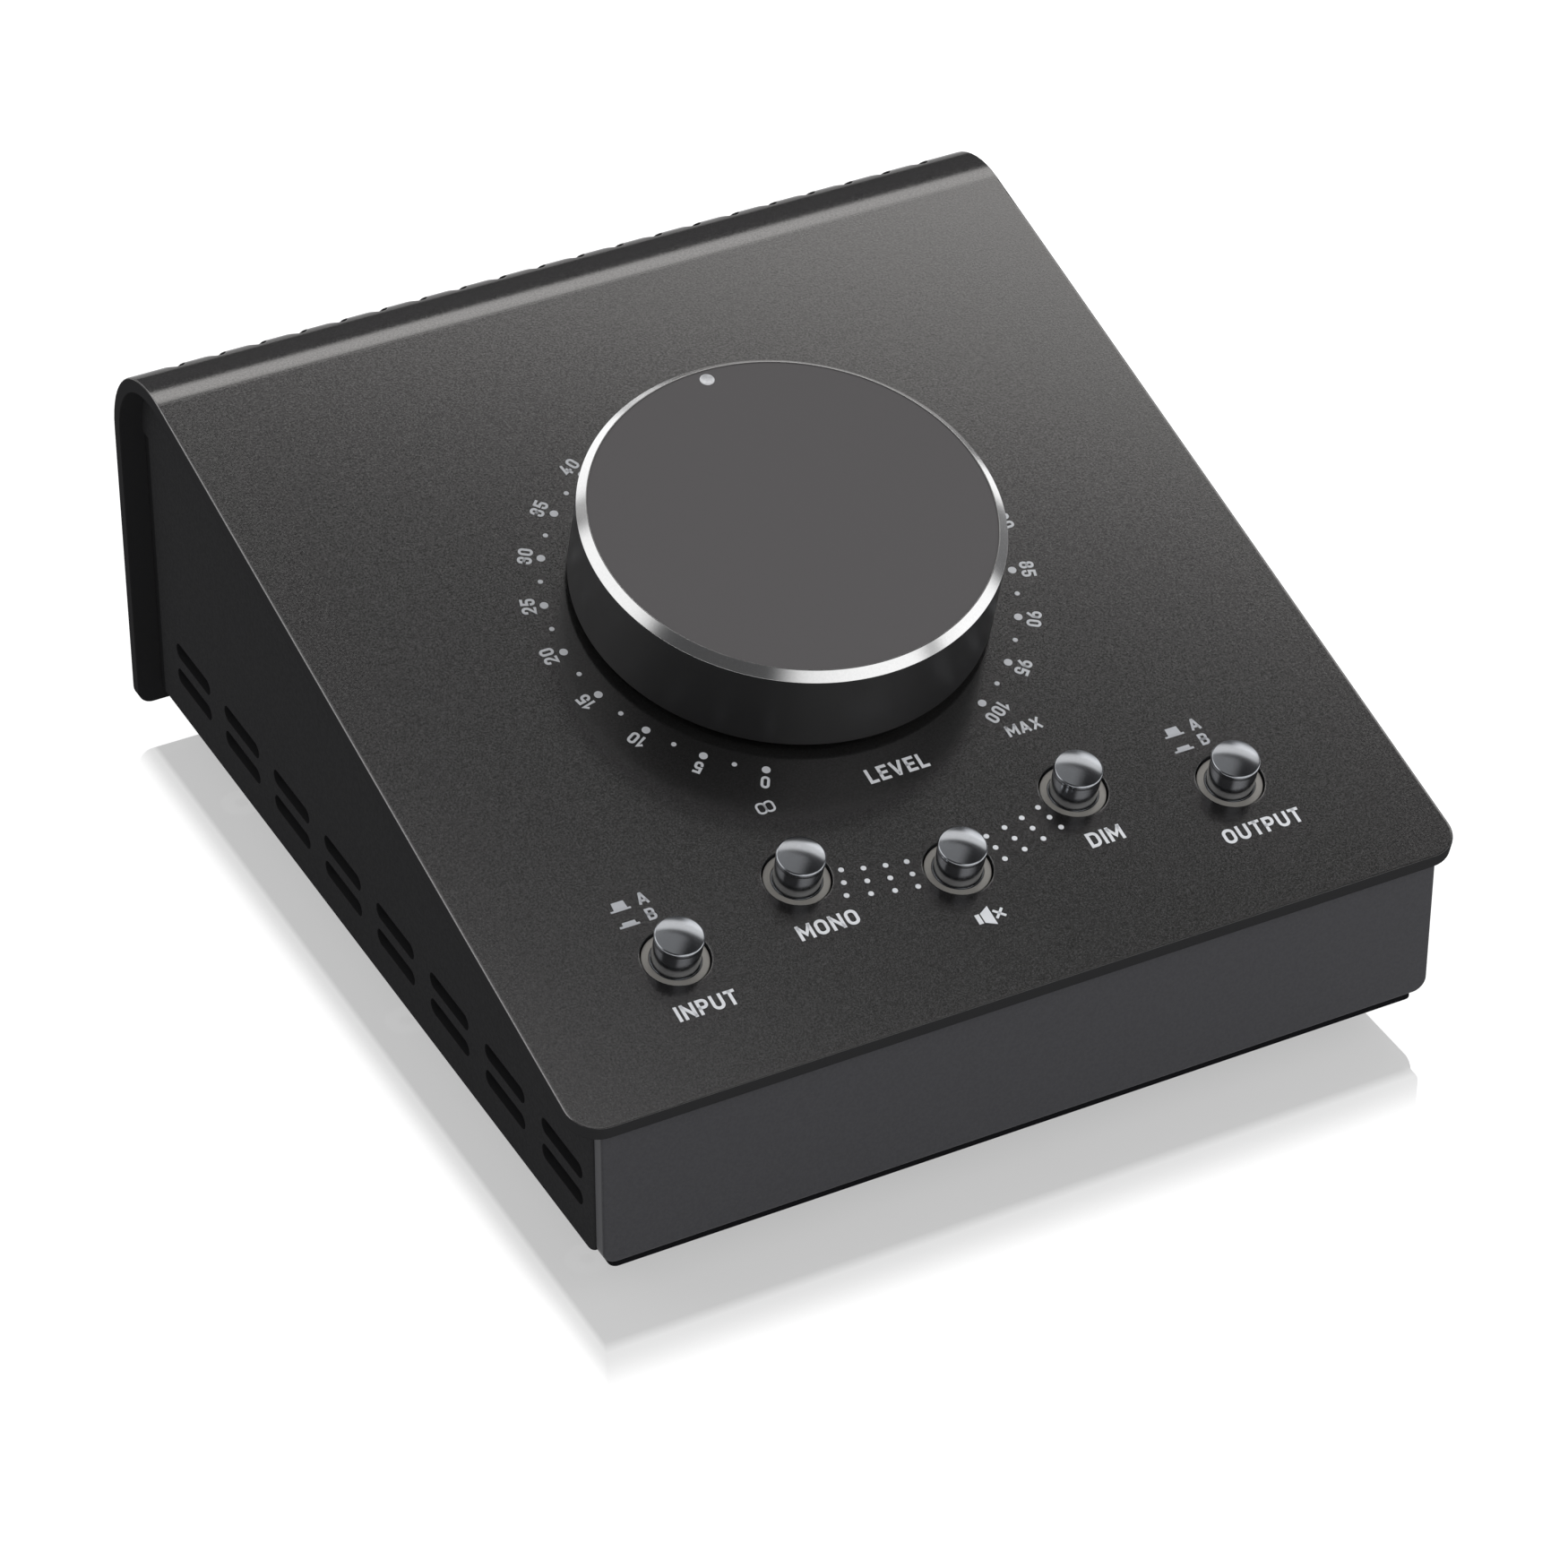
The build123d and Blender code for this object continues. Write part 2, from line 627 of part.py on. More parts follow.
with BuildPart() as knob_shell:
    lip_radius = knob_radius - knob_chamfer_width
    face_radius = lip_radius - knob_lip_width
    with BuildSketch(knob_section):
        with BuildLine():
            Polyline(
                (shell_bore_radius, knob_skirt_gap),
                (knob_radius, knob_skirt_gap),
                (knob_radius, knob_top_height - knob_chamfer_height),
                (lip_radius, knob_top_height),
                (face_radius, knob_top_height),
                (face_radius, knob_top_height - knob_face_recess),
                (0, knob_top_height - knob_face_recess),
                (0, shell_underside),
                (shell_bore_radius, shell_underside),
                close=True,
            )
        make_face()
    revolve(axis=knob_axis)
    drilled_holes(
        knob_plane.offset(knob_top_height),
        [(0, indicator_orbit)],
        indicator_radius + fit_gap,
        indicator_depth,
    )
save(knob_shell, "knob_shell")

with BuildPart() as knob_indicator:
    seat_height = knob_top_height - indicator_depth
    with BuildSketch(knob_plane.offset(seat_height)):
        with Locations((0, indicator_orbit)):
            Circle(indicator_radius)
    extrude(amount=indicator_depth - knob_face_recess)
    dish_height = knob_top_height - knob_face_recess - indicator_dish_depth + indicator_dish_radius
    with Locations(knob_plane.offset(dish_height)):
        with Locations((0, indicator_orbit)):
            Sphere(indicator_dish_radius, mode=Mode.SUBTRACT)
save(knob_indicator, "knob_indicator")


def shaft_section(radius):
    """Round section with the shaft's flat on its rear side, for the shaft or for its bore."""
    with BuildSketch() as section:
        Circle(radius)
        with Locations((0, radius - shaft_flat_depth)):
            Rectangle(2 * radius, 2 * radius, align=(Align.CENTER, Align.MIN), mode=Mode.SUBTRACT)
    return section.sketch


with BuildPart() as knob_core:
    core_radius = shell_bore_radius - fit_gap
    core_top = shell_underside
    web_underside = core_top - knob_core_web
    core_bottom = knob_skirt_gap + knob_core_recess
    with BuildSketch(knob_section):
        with BuildLine():
            Polyline(
                (0, core_top),
                (core_radius, core_top),
                (core_radius, core_bottom),
                (core_radius - knob_core_wall, core_bottom),
                (core_radius - knob_core_wall, web_underside),
                (hub_radius, web_underside),
                (hub_radius, hub_bottom_height),
                (0, hub_bottom_height),
                close=True,
            )
        make_face()
    revolve(axis=knob_axis)
    hub_bore = knob_plane.offset(hub_bottom_height) * shaft_section(shaft_radius + fit_gap)
    extrude(hub_bore, amount=core_top - hub_bottom_height, mode=Mode.SUBTRACT)
save(knob_core, "knob_core")

hub_ring_plane = knob_plane.offset(hub_bottom_height + hub_ring_lift)
hub_ring_radius = hub_radius + hub_ring_width
hub_ring = posts(hub_ring_plane, [(0, 0)], hub_ring_radius, hub_ring_height, hub_radius + fit_gap)
save(hub_ring, "knob_hub_ring")

# ---------------------------------------------------------------- potentiometer
pot_cavity_top = -hood_thickness - pot_top_wall
rotor_top = pot_cavity_top - rotor_gap
with BuildPart() as pot_housing:
    with BuildSketch(knob_plane.offset(-hood_thickness)):
        RectangleRounded(pot_side, pot_side, pot_corner_radius)
    extrude(amount=-pot_depth)
    with BuildSketch(knob_plane.offset(pot_cavity_top)):
        Circle(pot_cavity_radius)
    extrude(amount=-(pot_depth - pot_top_wall - pot_floor), mode=Mode.SUBTRACT)
    drilled_holes(knob_plane.offset(-hood_thickness), [(0, 0)], bushing_radius + fit_gap, pot_top_wall)
save(pot_housing, "pot_housing")

pot_bushing = posts(
    knob_plane.offset(pot_cavity_top),
    [(0, 0)],
    bushing_radius,
    bushing_proud - pot_cavity_top,
    shaft_radius + shaft_running_clearance,
)
save(pot_bushing, "pot_bushing")

with BuildPart() as pot_shaft:
    with BuildSketch(knob_section):
        with BuildLine():
            Polyline(
                (0, shaft_top_height),
                (shaft_radius, shaft_top_height),
                (shaft_radius, rotor_top),
                (rotor_radius, rotor_top),
                (rotor_radius, rotor_top - rotor_thickness),
                (shaft_radius, rotor_top - rotor_thickness),
                (shaft_radius, rotor_top - rotor_thickness - shaft_tail),
                (0, rotor_top - rotor_thickness - shaft_tail),
                close=True,
            )
        make_face()
    revolve(axis=knob_axis)
    flat_plane = knob_plane.offset(shaft_top_height - shaft_flat_length)
    with BuildSketch(flat_plane):
        with Locations((0, shaft_radius - shaft_flat_depth)):
            Rectangle(2 * shaft_radius, 2 * shaft_radius, align=(Align.CENTER, Align.MIN))
    extrude(amount=shaft_flat_length, mode=Mode.SUBTRACT)
save(pot_shaft, "pot_shaft")

pot_washer = posts(knob_plane, [(0, 0)], washer_radius, washer_thickness, bushing_radius + fit_gap)
save(pot_washer, "pot_washer")
pot_nut_plane = knob_plane.offset(washer_thickness)
pot_nut = hex_nuts(pot_nut_plane, [(0, 0)], pot_nut_across_flats, bushing_radius + fit_gap, pot_nut_height)
save(pot_nut, "pot_nut")


# ---------------------------------------------------------------- push buttons and switches
def button_frame(point, height=0.0):
    """Plane square to the panel's normal over a button, this far out of the panel."""
    origin = panel.from_local_coords((point[0], point[1], height))
    return Plane(origin=origin, x_dir=(1, 0, 0), z_dir=panel.z_dir)


def button_cap(point):
    """Turned cap: a collar under the panel's surface, a neck, and a slightly wider domed head."""
    origin = panel.from_local_coords((point[0], point[1], 0))
    shoulder_height = head_bottom_height + head_side_height
    crown_radius = head_radius - head_round
    crown_height = shoulder_height + head_round
    dome_radius = (crown_radius**2 + dome_height**2) / (2 * dome_height)
    dome_centre = crown_height + dome_height - dome_radius
    dome_half_angle = degrees(asin(crown_radius / dome_radius))
    with BuildPart() as cap:
        with BuildSketch(Plane(origin=origin, x_dir=(1, 0, 0), z_dir=-panel.y_dir)):
            with BuildLine():
                Polyline(
                    (0, crown_height + dome_height),
                    (0, -collar_recess - collar_thickness),
                    (collar_radius, -collar_recess - collar_thickness),
                    (collar_radius, -collar_recess),
                    (collar_groove_radius, -collar_recess),
                    (collar_groove_radius, -collar_recess - collar_groove_depth),
                    (neck_radius, -collar_recess - collar_groove_depth),
                    (neck_radius, head_bottom_height),
                    (head_radius, head_bottom_height),
                    (head_radius, shoulder_height),
                )
                CenterArc((crown_radius, shoulder_height), head_round, 0, 90)
                CenterArc((0, dome_centre), dome_radius, 90 - dome_half_angle, dome_half_angle)
            make_face()
        revolve(axis=Axis(origin, panel.z_dir))
        bore_depth = plunger_top_height + collar_recess + collar_thickness
        drilled_holes(button_frame(point, plunger_top_height), [(0, 0)], plunger_radius + fit_gap, bore_depth)
    return cap


def switch_body(point):
    """Square body that stands on the control board, open below, with a round guide on top."""
    with BuildPart() as body:
        with BuildSketch(button_frame(point, board_height)):
            RectangleRounded(switch_side, switch_side, switch_edge)
        extrude(amount=switch_height)
        with BuildSketch(button_frame(point, board_height)):
            Circle(switch_cavity_radius)
        extrude(amount=switch_height - switch_top_wall, mode=Mode.SUBTRACT)
        drilled_holes(
            button_frame(point, switch_top_height),
            [(0, 0)],
            plunger_radius + plunger_clearance,
            switch_top_wall,
        )
    return body


def switch_plunger(point):
    """Pin pressed into the cap, with a collar that the switch's top wall keeps in."""
    collar_top = switch_top_height - switch_top_wall - plunger_collar_gap
    collar_bottom = collar_top - plunger_collar_height
    with BuildPart() as plunger:
        with BuildSketch(button_frame(point, collar_bottom)):
            Circle(plunger_radius)
        extrude(amount=plunger_top_height - collar_bottom)
        with BuildSketch(button_frame(point, collar_bottom)):
            Circle(plunger_collar_radius)
        extrude(amount=plunger_collar_height)
    return plunger


for button, button_point in button_points.items():
    save(button_cap(button_point), f"{button}_button_cap")
    save(switch_body(button_point), f"{button}_switch_body")
    save(switch_plunger(button_point), f"{button}_switch_plunger")

# ---------------------------------------------------------------- control board
board_plane = panel.offset(board_height)
board_underside = panel.offset(board_height - board_thickness)
with BuildPart() as control_board:
    with BuildSketch(board_underside):
        with Locations((0, control_board_front)):
            Rectangle(control_board_width, control_board_length, align=(Align.CENTER, Align.MIN))
    extrude(amount=board_thickness)
    drilled_holes(board_plane, standoff_points, screw_hole_radius, board_thickness)
save(control_board, "control_board")

board_standoffs = posts(board_plane, standoff_points, standoff_radius, pot_depth, screw_hole_radius)
save(board_standoffs, "control_board_standoffs")
board_screws = pan_head_screws(facing_down(board_underside), standoff_points, board_screw_length)
save(board_screws, "control_board_screws")

# ---------------------------------------------------------------- jack sockets
jack_mouth_y = rear_face_y - jack_end_recess


def jack_socket(point, body_width, body_top, body_depth, bushing, bore, bore_length):
    """Socket body on the jack board, with its threaded bushing through the rear plate."""
    body_height = body_top + jack_body_height / 2
    with BuildPart() as socket:
        with BuildSketch(upright(rear_plate_inner_y - seam_gap, jack_board_top_z)):
            with Locations((point[0], 0)):
                Rectangle(body_width, body_height, align=(Align.CENTER, Align.MIN))
        extrude(amount=-body_depth)
        with BuildSketch(upright(rear_plate_inner_y - seam_gap, jack_axis_z)):
            with Locations(point):
                Circle(bushing)
        extrude(amount=jack_mouth_y - rear_plate_inner_y + seam_gap)
        drilled_holes(upright(jack_mouth_y, jack_axis_z), [point], bore, bore_length)
    return socket


for jack, jack_point in jack_points.items():
    if jack == mini_jack_name:
        socket = jack_socket(
            jack_point,
            mini_jack_body_width,
            mini_jack_body_top,
            mini_jack_body_depth,
            mini_jack_bushing_radius,
            mini_jack_bore_radius,
            mini_jack_bore_length,
        )
    else:
        socket = jack_socket(
            jack_point,
            jack_body_width,
            jack_body_height / 2,
            jack_body_depth,
            jack_bushing_radius,
            jack_bore_radius,
            jack_bore_length,
        )
    save(socket, jack)

jack_nuts = hex_nuts(
    socket_plane, large_jack_points, jack_nut_across_flats, jack_bushing_radius + fit_gap, jack_nut_height
)
save(jack_nuts, "jack_nuts")
mini_jack_nut = hex_nuts(
    socket_plane,
    [mini_jack_point],
    mini_jack_nut_across_flats,
    mini_jack_bushing_radius + fit_gap,
    jack_nut_height,
)
save(mini_jack_nut, "mini_jack_nut")

# ---------------------------------------------------------------- jack board
with BuildPart() as jack_board:
    with BuildSketch(Plane.XY.offset(jack_board_top_z)):
        with Locations((0, jack_board_front_y)):
            Rectangle(jack_board_width, jack_board_length, align=(Align.CENTER, Align.MIN))
    extrude(amount=-board_thickness)
    drilled_holes(
        Plane.XY.offset(jack_board_top_z), jack_standoff_points, screw_hole_radius, board_thickness
    )
save(jack_board, "jack_board")

jack_standoff_height = jack_board_top_z - board_thickness - foot_height - base_thickness
jack_standoffs = posts(
    base_top, jack_standoff_points, standoff_radius, jack_standoff_height, screw_hole_radius
)
save(jack_standoffs, "jack_board_standoffs")
jack_board_screws = pan_head_screws(
    Plane.XY.offset(jack_board_top_z), jack_standoff_points, board_screw_length
)
save(jack_board_screws, "jack_board_screws")

# ---------------------------------------------------------------- link between the boards
# The jack board's header faces up; the control board's lies under its rear edge and faces back.
jack_header_y = jack_board_front_y + header_edge_inset + header_depth / 2
with BuildPart() as jack_header:
    with Locations((0, jack_header_y, jack_board_top_z)):
        Box(header_width, header_depth, header_height, align=standing)
save(jack_header, "jack_board_header")

control_board_rear = control_board_front + control_board_length
with BuildPart() as control_header:
    with BuildSketch(board_underside):
        with Locations((0, control_board_rear)):
            Rectangle(header_width, header_height, align=(Align.CENTER, Align.MAX))
    extrude(amount=-header_depth)
save(control_header, "control_board_header")

with BuildPart() as ribbon_link:
    link_start = panel_point(control_board_rear, board_height - board_thickness - header_depth / 2)
    link_end = (jack_header_y, jack_board_top_z + header_height)
    link_corner = (jack_header_y, link_start[1] + (jack_header_y - link_start[0]) * tan(slope))
    with BuildLine(Plane.YZ) as link_route:
        FilletPolyline(link_start, link_corner, link_end, radius=ribbon_bend_radius)
    with BuildSketch(Plane(origin=link_route.line @ 0, x_dir=(1, 0, 0), z_dir=link_route.line % 0)):
        Rectangle(ribbon_width, ribbon_thickness)
    sweep()
save(ribbon_link, "ribbon_link")
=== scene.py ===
import math

import bpy
import numpy as np
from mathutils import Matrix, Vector
from mathutils.geometry import delaunay_2d_cdt


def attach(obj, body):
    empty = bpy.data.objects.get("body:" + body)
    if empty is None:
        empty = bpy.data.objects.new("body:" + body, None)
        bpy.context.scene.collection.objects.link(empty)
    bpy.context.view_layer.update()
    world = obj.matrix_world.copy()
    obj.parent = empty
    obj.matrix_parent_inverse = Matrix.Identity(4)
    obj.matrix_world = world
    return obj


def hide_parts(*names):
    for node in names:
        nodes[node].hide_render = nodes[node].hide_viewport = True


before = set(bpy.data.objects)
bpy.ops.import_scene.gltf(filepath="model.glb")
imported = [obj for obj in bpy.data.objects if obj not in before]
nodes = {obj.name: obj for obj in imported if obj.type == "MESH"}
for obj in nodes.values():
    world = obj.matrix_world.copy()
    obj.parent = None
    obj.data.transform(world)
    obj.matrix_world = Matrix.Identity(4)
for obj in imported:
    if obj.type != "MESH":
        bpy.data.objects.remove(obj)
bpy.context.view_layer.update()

scene = bpy.context.scene

# ------------------------------------------------------------------ camera and studio
# A long lens looks down at the object from the front left. Floor and backdrop are white paper, softboxes
# stand behind, on the left and in front, and dark cloth hangs between them.
camera_place = (-0.321227, -0.616260, 0.531188)
camera_tilt = 53.3889
camera_roll = -0.0701
camera_heading = -27.5683
camera_lens = 146.878
camera_shift = 0.00182
sensor_width = 36.0
lamp_aim = Vector((0, 0, 0.03))

camera_data = bpy.data.cameras.new("camera")
camera_data.lens = camera_lens
camera_data.sensor_width = sensor_width
camera_data.shift_x = camera_shift
camera = bpy.data.objects.new("camera", camera_data)
camera.location = camera_place
camera.rotation_euler = [math.radians(a) for a in (camera_tilt, camera_roll, camera_heading)]
scene.collection.objects.link(camera)
scene.camera = camera
scene.view_settings.view_transform = "Standard"


def softbox(name, azimuth, elevation, half_wide, half_high, radiance, distance=1.2):
    """Lamp turned to the object, sized by the angles that it covers; azimuth 0 is behind, 90 right."""
    lamp = bpy.data.lights.new(name, "AREA")
    lamp.shape = "RECTANGLE"
    lamp.size = 2 * distance * math.tan(math.radians(half_wide))
    lamp.size_y = 2 * distance * math.tan(math.radians(half_high))
    lamp.energy = radiance * math.pi * lamp.size * lamp.size_y
    stand = bpy.data.objects.new(name, lamp)
    turn, lift = math.radians(azimuth), math.radians(elevation)
    away = Vector((math.sin(turn) * math.cos(lift), math.cos(turn) * math.cos(lift), math.sin(lift)))
    stand.location = lamp_aim + away * distance
    stand.rotation_euler = away.to_track_quat("Z", "Y").to_euler()
    stand.visible_camera = False
    stand.visible_glossy = False
    scene.collection.objects.link(stand)


softbox("softbox_back", azimuth=35, elevation=48, half_wide=26, half_high=18, radiance=1.9)
softbox("softbox_left", azimuth=-65, elevation=36, half_wide=14, half_high=14, radiance=1.1)
softbox("softbox_front", azimuth=134, elevation=30, half_wide=22, half_high=15, radiance=1.8, distance=0.6)


def blank(owner):
    """The empty node tree of a new material or world."""
    owner.use_nodes = True
    owner.node_tree.nodes.clear()
    return owner.node_tree


def put(tree, kind, links=None, **settings):
    """Adds a node; links maps an input's name or number to a value, or to the output that feeds it."""
    node = tree.nodes.new(kind)
    for key, value in settings.items():
        setattr(node, key, value)
    for key, value in (links or {}).items():
        if isinstance(value, bpy.types.NodeSocket):
            tree.links.new(value, node.inputs[key])
        else:
            node.inputs[key].default_value = value
    return node


world = bpy.data.worlds.new("studio")
world.cycles.sampling_method = "NONE"  # so that each kind of ray meets only the backdrop meant for it
scene.world = world
tree = blank(world)
ray = put(tree, "ShaderNodeLightPath").outputs
gaze = put(tree, "ShaderNodeTexCoord").outputs["Generated"]
upward = put(tree, "ShaderNodeSeparateXYZ", {0: gaze}).outputs["Z"]


def across(axis, depth, half, soft):
    """1 within the half angle of a glow's middle along an axis, falling smoothly to 0 over its soft edge."""
    side = put(tree, "ShaderNodeVectorMath", {0: gaze, 1: axis}, operation="DOT_PRODUCT")
    side = put(tree, "ShaderNodeMath", {0: side.outputs["Value"]}, operation="ABSOLUTE")
    slant = put(tree, "ShaderNodeMath", {0: side.outputs[0], 1: depth}, operation="DIVIDE")
    inner = math.tan(math.radians(max(half - soft, 0.1)))
    outer = math.tan(math.radians(half + soft))
    return put(tree, "ShaderNodeMapRange", {0: slant.outputs[0], 1: inner, 2: outer, 3: 1.0, 4: 0.0},
               interpolation_type="SMOOTHSTEP").outputs[0]


def soft_glow(azimuth, elevation, half_wide, half_high, roll, soft, radiance, tint=(1, 1, 1)):
    """Soft-edged bright rectangle that glossy surfaces mirror, seen from the middle of the studio."""
    turn, lift = math.radians(azimuth), math.radians(elevation)
    ahead = Vector((math.sin(turn) * math.cos(lift), math.cos(turn) * math.cos(lift), math.sin(lift)))
    right = Vector((math.cos(turn), -math.sin(turn), 0))
    top = right.cross(ahead)
    lean = math.radians(roll)
    wide_axis = right * math.cos(lean) + top * math.sin(lean)
    high_axis = top * math.cos(lean) - right * math.sin(lean)
    depth = put(tree, "ShaderNodeVectorMath", {0: gaze, 1: ahead}, operation="DOT_PRODUCT")
    depth = put(tree, "ShaderNodeMath", {0: depth.outputs["Value"], 1: 0.001}, operation="MAXIMUM").outputs[0]
    wide = across(wide_axis, depth, half_wide, soft[0])
    high = across(high_axis, depth, half_high, soft[1])
    share = put(tree, "ShaderNodeMath", {0: wide, 1: high}, operation="MULTIPLY")
    share = put(tree, "ShaderNodeMath", {0: share.outputs[0], 1: radiance}, operation="MULTIPLY")
    return put(tree, "ShaderNodeVectorMath", {0: tint, 3: share.outputs[0]}, operation="SCALE").outputs[0]


cloth_radiance = (0.19, 0.015)  # at the horizon and overhead
cloth_tint = (1, 1, 1.02)
strip_tint = (1.0, 0.99, 0.97)
fill_strength = 0.5
cloth = put(tree, "ShaderNodeMapRange", {0: upward, 1: 0.0, 2: 1.0, 3: cloth_radiance[0],
                                         4: cloth_radiance[1]})
room = put(tree, "ShaderNodeVectorMath", {0: cloth_tint, 3: cloth.outputs[0]}, operation="SCALE").outputs[0]
# Each glow: azimuth, elevation, half width, half height, roll and soft edges in degrees, then radiance.
for glow in (
    soft_glow(22, 48, 42, 9, 6, (6, 2.1), 1.0, strip_tint),  # long strip light behind
    soft_glow(56, 33.4, 11.3, 4.7, -11, (5, 4), 1.23),  # small softbox behind on the right
    soft_glow(-62, 39, 24, 17.4, -2, (5, 9.5), 1.05),  # large softbox on the left
    soft_glow(114, 12, 19, 4.1, 15, (5, 9.9), 1.39),  # low strip light on the right
    soft_glow(167, 24, 27, 13.7, 5, (7, 10), 1.05),  # softbox in front
    soft_glow(-20, 78, 20.5, 24, -30, (2, 8.3), 0.26),  # pale cloth overhead
    soft_glow(-4.5, 13.5, 19, 6, -41, (3, 3), 1.05),  # slanting strip light, low behind
):
    room = put(tree, "ShaderNodeVectorMath", {0: room, 1: glow}, operation="ADD").outputs[0]
fill = put(tree, "ShaderNodeBackground", {0: (1, 1, 1, 1), 1: fill_strength})
mirrored = put(tree, "ShaderNodeBackground", {0: room, 1: 1.0})
white = put(tree, "ShaderNodeBackground", {0: (1, 1, 1, 1), 1: 1.0})
seen = put(tree, "ShaderNodeMixShader", {0: ray["Is Glossy Ray"], 1: fill.outputs[0], 2: mirrored.outputs[0]})
plainly = put(tree, "ShaderNodeMath", {0: ray["Is Camera Ray"], 1: ray["Is Transmission Ray"]},
              operation="ADD")
plainly = put(tree, "ShaderNodeMath", {0: plainly.outputs[0], 1: ray["Is Singular Ray"]},
              operation="MAXIMUM")
seen = put(tree, "ShaderNodeMixShader", {0: plainly.outputs[0], 1: seen.outputs[0], 2: white.outputs[0]})
put(tree, "ShaderNodeOutputWorld", {0: seen.outputs[0]})

# ------------------------------------------------------------------ floor
# A sheet of white paper with some polish. It takes the object's soft shadow and mirrors its lowest
# centimetre, fading with the distance from the object's footprint over the slope of each side.
floor_radius = 1.6
corner_count = 96
footprint = (0.0607, 0.0702)
mirror_slope = (0.50, 1.18)
underside = (0.0050, 0.0066)
mirror_end = 0.0145
mirror_share = (0.48, 0.31)
paper_grey = 0.38
paper_glow = 0.9
bounce_grey = 0.8
angles = np.linspace(0, 2 * np.pi, corner_count, endpoint=False)
ring = np.stack([np.cos(angles), np.sin(angles), np.zeros(corner_count)], 1) * floor_radius
floor_mesh = bpy.data.meshes.new("floor")
floor_mesh.from_pydata(ring, [], [list(range(corner_count))])
floor = bpy.data.objects.new("floor", floor_mesh)
scene.collection.objects.link(floor)

paper = bpy.data.materials.new("white_paper")
floor_mesh.materials.append(paper)
tree = blank(paper)
ray = put(tree, "ShaderNodeLightPath").outputs
place = put(tree, "ShaderNodeTexCoord").outputs["Object"]
folded = put(tree, "ShaderNodeVectorMath", {0: place}, operation="ABSOLUTE")
outside = put(tree, "ShaderNodeVectorMath", {0: folded.outputs[0], 1: (*footprint, 0)},
              operation="SUBTRACT")
outside = put(tree, "ShaderNodeVectorMath", {0: outside.outputs[0], 1: (0, 0, 0)}, operation="MAXIMUM")
height = put(tree, "ShaderNodeVectorMath", {0: outside.outputs[0], 1: (*mirror_slope, 1)},
             operation="DIVIDE")
height = put(tree, "ShaderNodeSeparateXYZ", {0: height.outputs[0]}).outputs
height = put(tree, "ShaderNodeMath", {0: height["X"], 1: height["Y"]}, operation="MAXIMUM").outputs[0]
clear = put(tree, "ShaderNodeMapRange", {0: height, 1: underside[0], 2: underside[1],
                                         3: mirror_share[0] - mirror_share[1], 4: 0.0})
fading = put(tree, "ShaderNodeMapRange", {0: height, 1: underside[1], 2: mirror_end,
                                          3: mirror_share[1], 4: 0.0}, interpolation_type="SMOOTHSTEP")
share = put(tree, "ShaderNodeMath", {0: clear.outputs[0], 1: fading.outputs[0]}, operation="ADD")
lit = put(tree, "ShaderNodeBsdfDiffuse", {"Color": (paper_grey, paper_grey, paper_grey, 1)})
glow = put(tree, "ShaderNodeEmission", {"Color": (1, 1, 1, 1), "Strength": paper_glow})
matte = put(tree, "ShaderNodeAddShader", {0: lit.outputs[0], 1: glow.outputs[0]})
shine = put(tree, "ShaderNodeBsdfGlossy", {"Color": (1, 1, 1, 1), "Roughness": 0.0})
shown = put(tree, "ShaderNodeMixShader", {0: share.outputs[0], 1: matte.outputs[0], 2: shine.outputs[0]})
plain = put(tree, "ShaderNodeBsdfDiffuse", {"Color": (bounce_grey, bounce_grey, bounce_grey, 1)})
plainly = put(tree, "ShaderNodeMath", {0: ray["Is Glossy Ray"], 1: ray["Is Transmission Ray"]},
              operation="ADD")
seen = put(tree, "ShaderNodeMixShader", {0: plainly.outputs[0], 1: plain.outputs[0], 2: matte.outputs[0]})
seen = put(tree, "ShaderNodeMixShader", {0: ray["Is Camera Ray"], 1: seen.outputs[0], 2: shown.outputs[0]})
put(tree, "ShaderNodeOutputMaterial", {0: seen.outputs[0]})

# ------------------------------------------------------------------ hood
# One steel plate, cut, bent round at the back, powder coated in charcoal and held by studs from inside.
# The coat has a fine grain and shines softly; its edges are painted lighter, a painted highlight, and its cut
# faces and inner side are painted a dull dark grey, a painted shade.
slope = math.radians(14.8)
front_edge = (-71.65, 30.0)  # y and z of the panel's front edge, in millimetres
flat_length = 130.7
bend_radius = 13.5
panel_normal = (0, -math.sin(slope), math.cos(slope))
bend_y = front_edge[0] + flat_length * math.cos(slope) + bend_radius * math.sin(slope)
bend_z = front_edge[1] + flat_length * math.sin(slope) - bend_radius * math.cos(slope)
tone_span = (0.38, 0.62)  # heights of the grain between which the tone and the gloss change
gloss_span = (0.3, 0.7)
gloss_change = (-0.04, 0.05)


def rgb(code):
    """Linear colour, with alpha, of a six-digit hex code as it looks on a screen."""
    shown = np.array([int(code[k:k + 2], 16) for k in (0, 2, 4)]) / 255
    linear = np.where(shown <= 0.04045, shown / 12.92, ((shown + 0.055) / 1.055) ** 2.4)
    return (*linear.tolist(), 1.0)


def effect(name, inputs, outputs):
    """A new shader group: its tree, the sockets that come in, and the node that takes what goes out."""
    tree = bpy.data.node_groups.new(name, "ShaderNodeTree")
    for socket, kind in inputs.items():
        tree.interface.new_socket(name=socket, in_out="INPUT", socket_type="NodeSocket" + kind)
    for socket, kind in outputs.items():
        tree.interface.new_socket(name=socket, in_out="OUTPUT", socket_type="NodeSocket" + kind)
    return tree, tree.nodes.new("NodeGroupInput").outputs, tree.nodes.new("NodeGroupOutput")


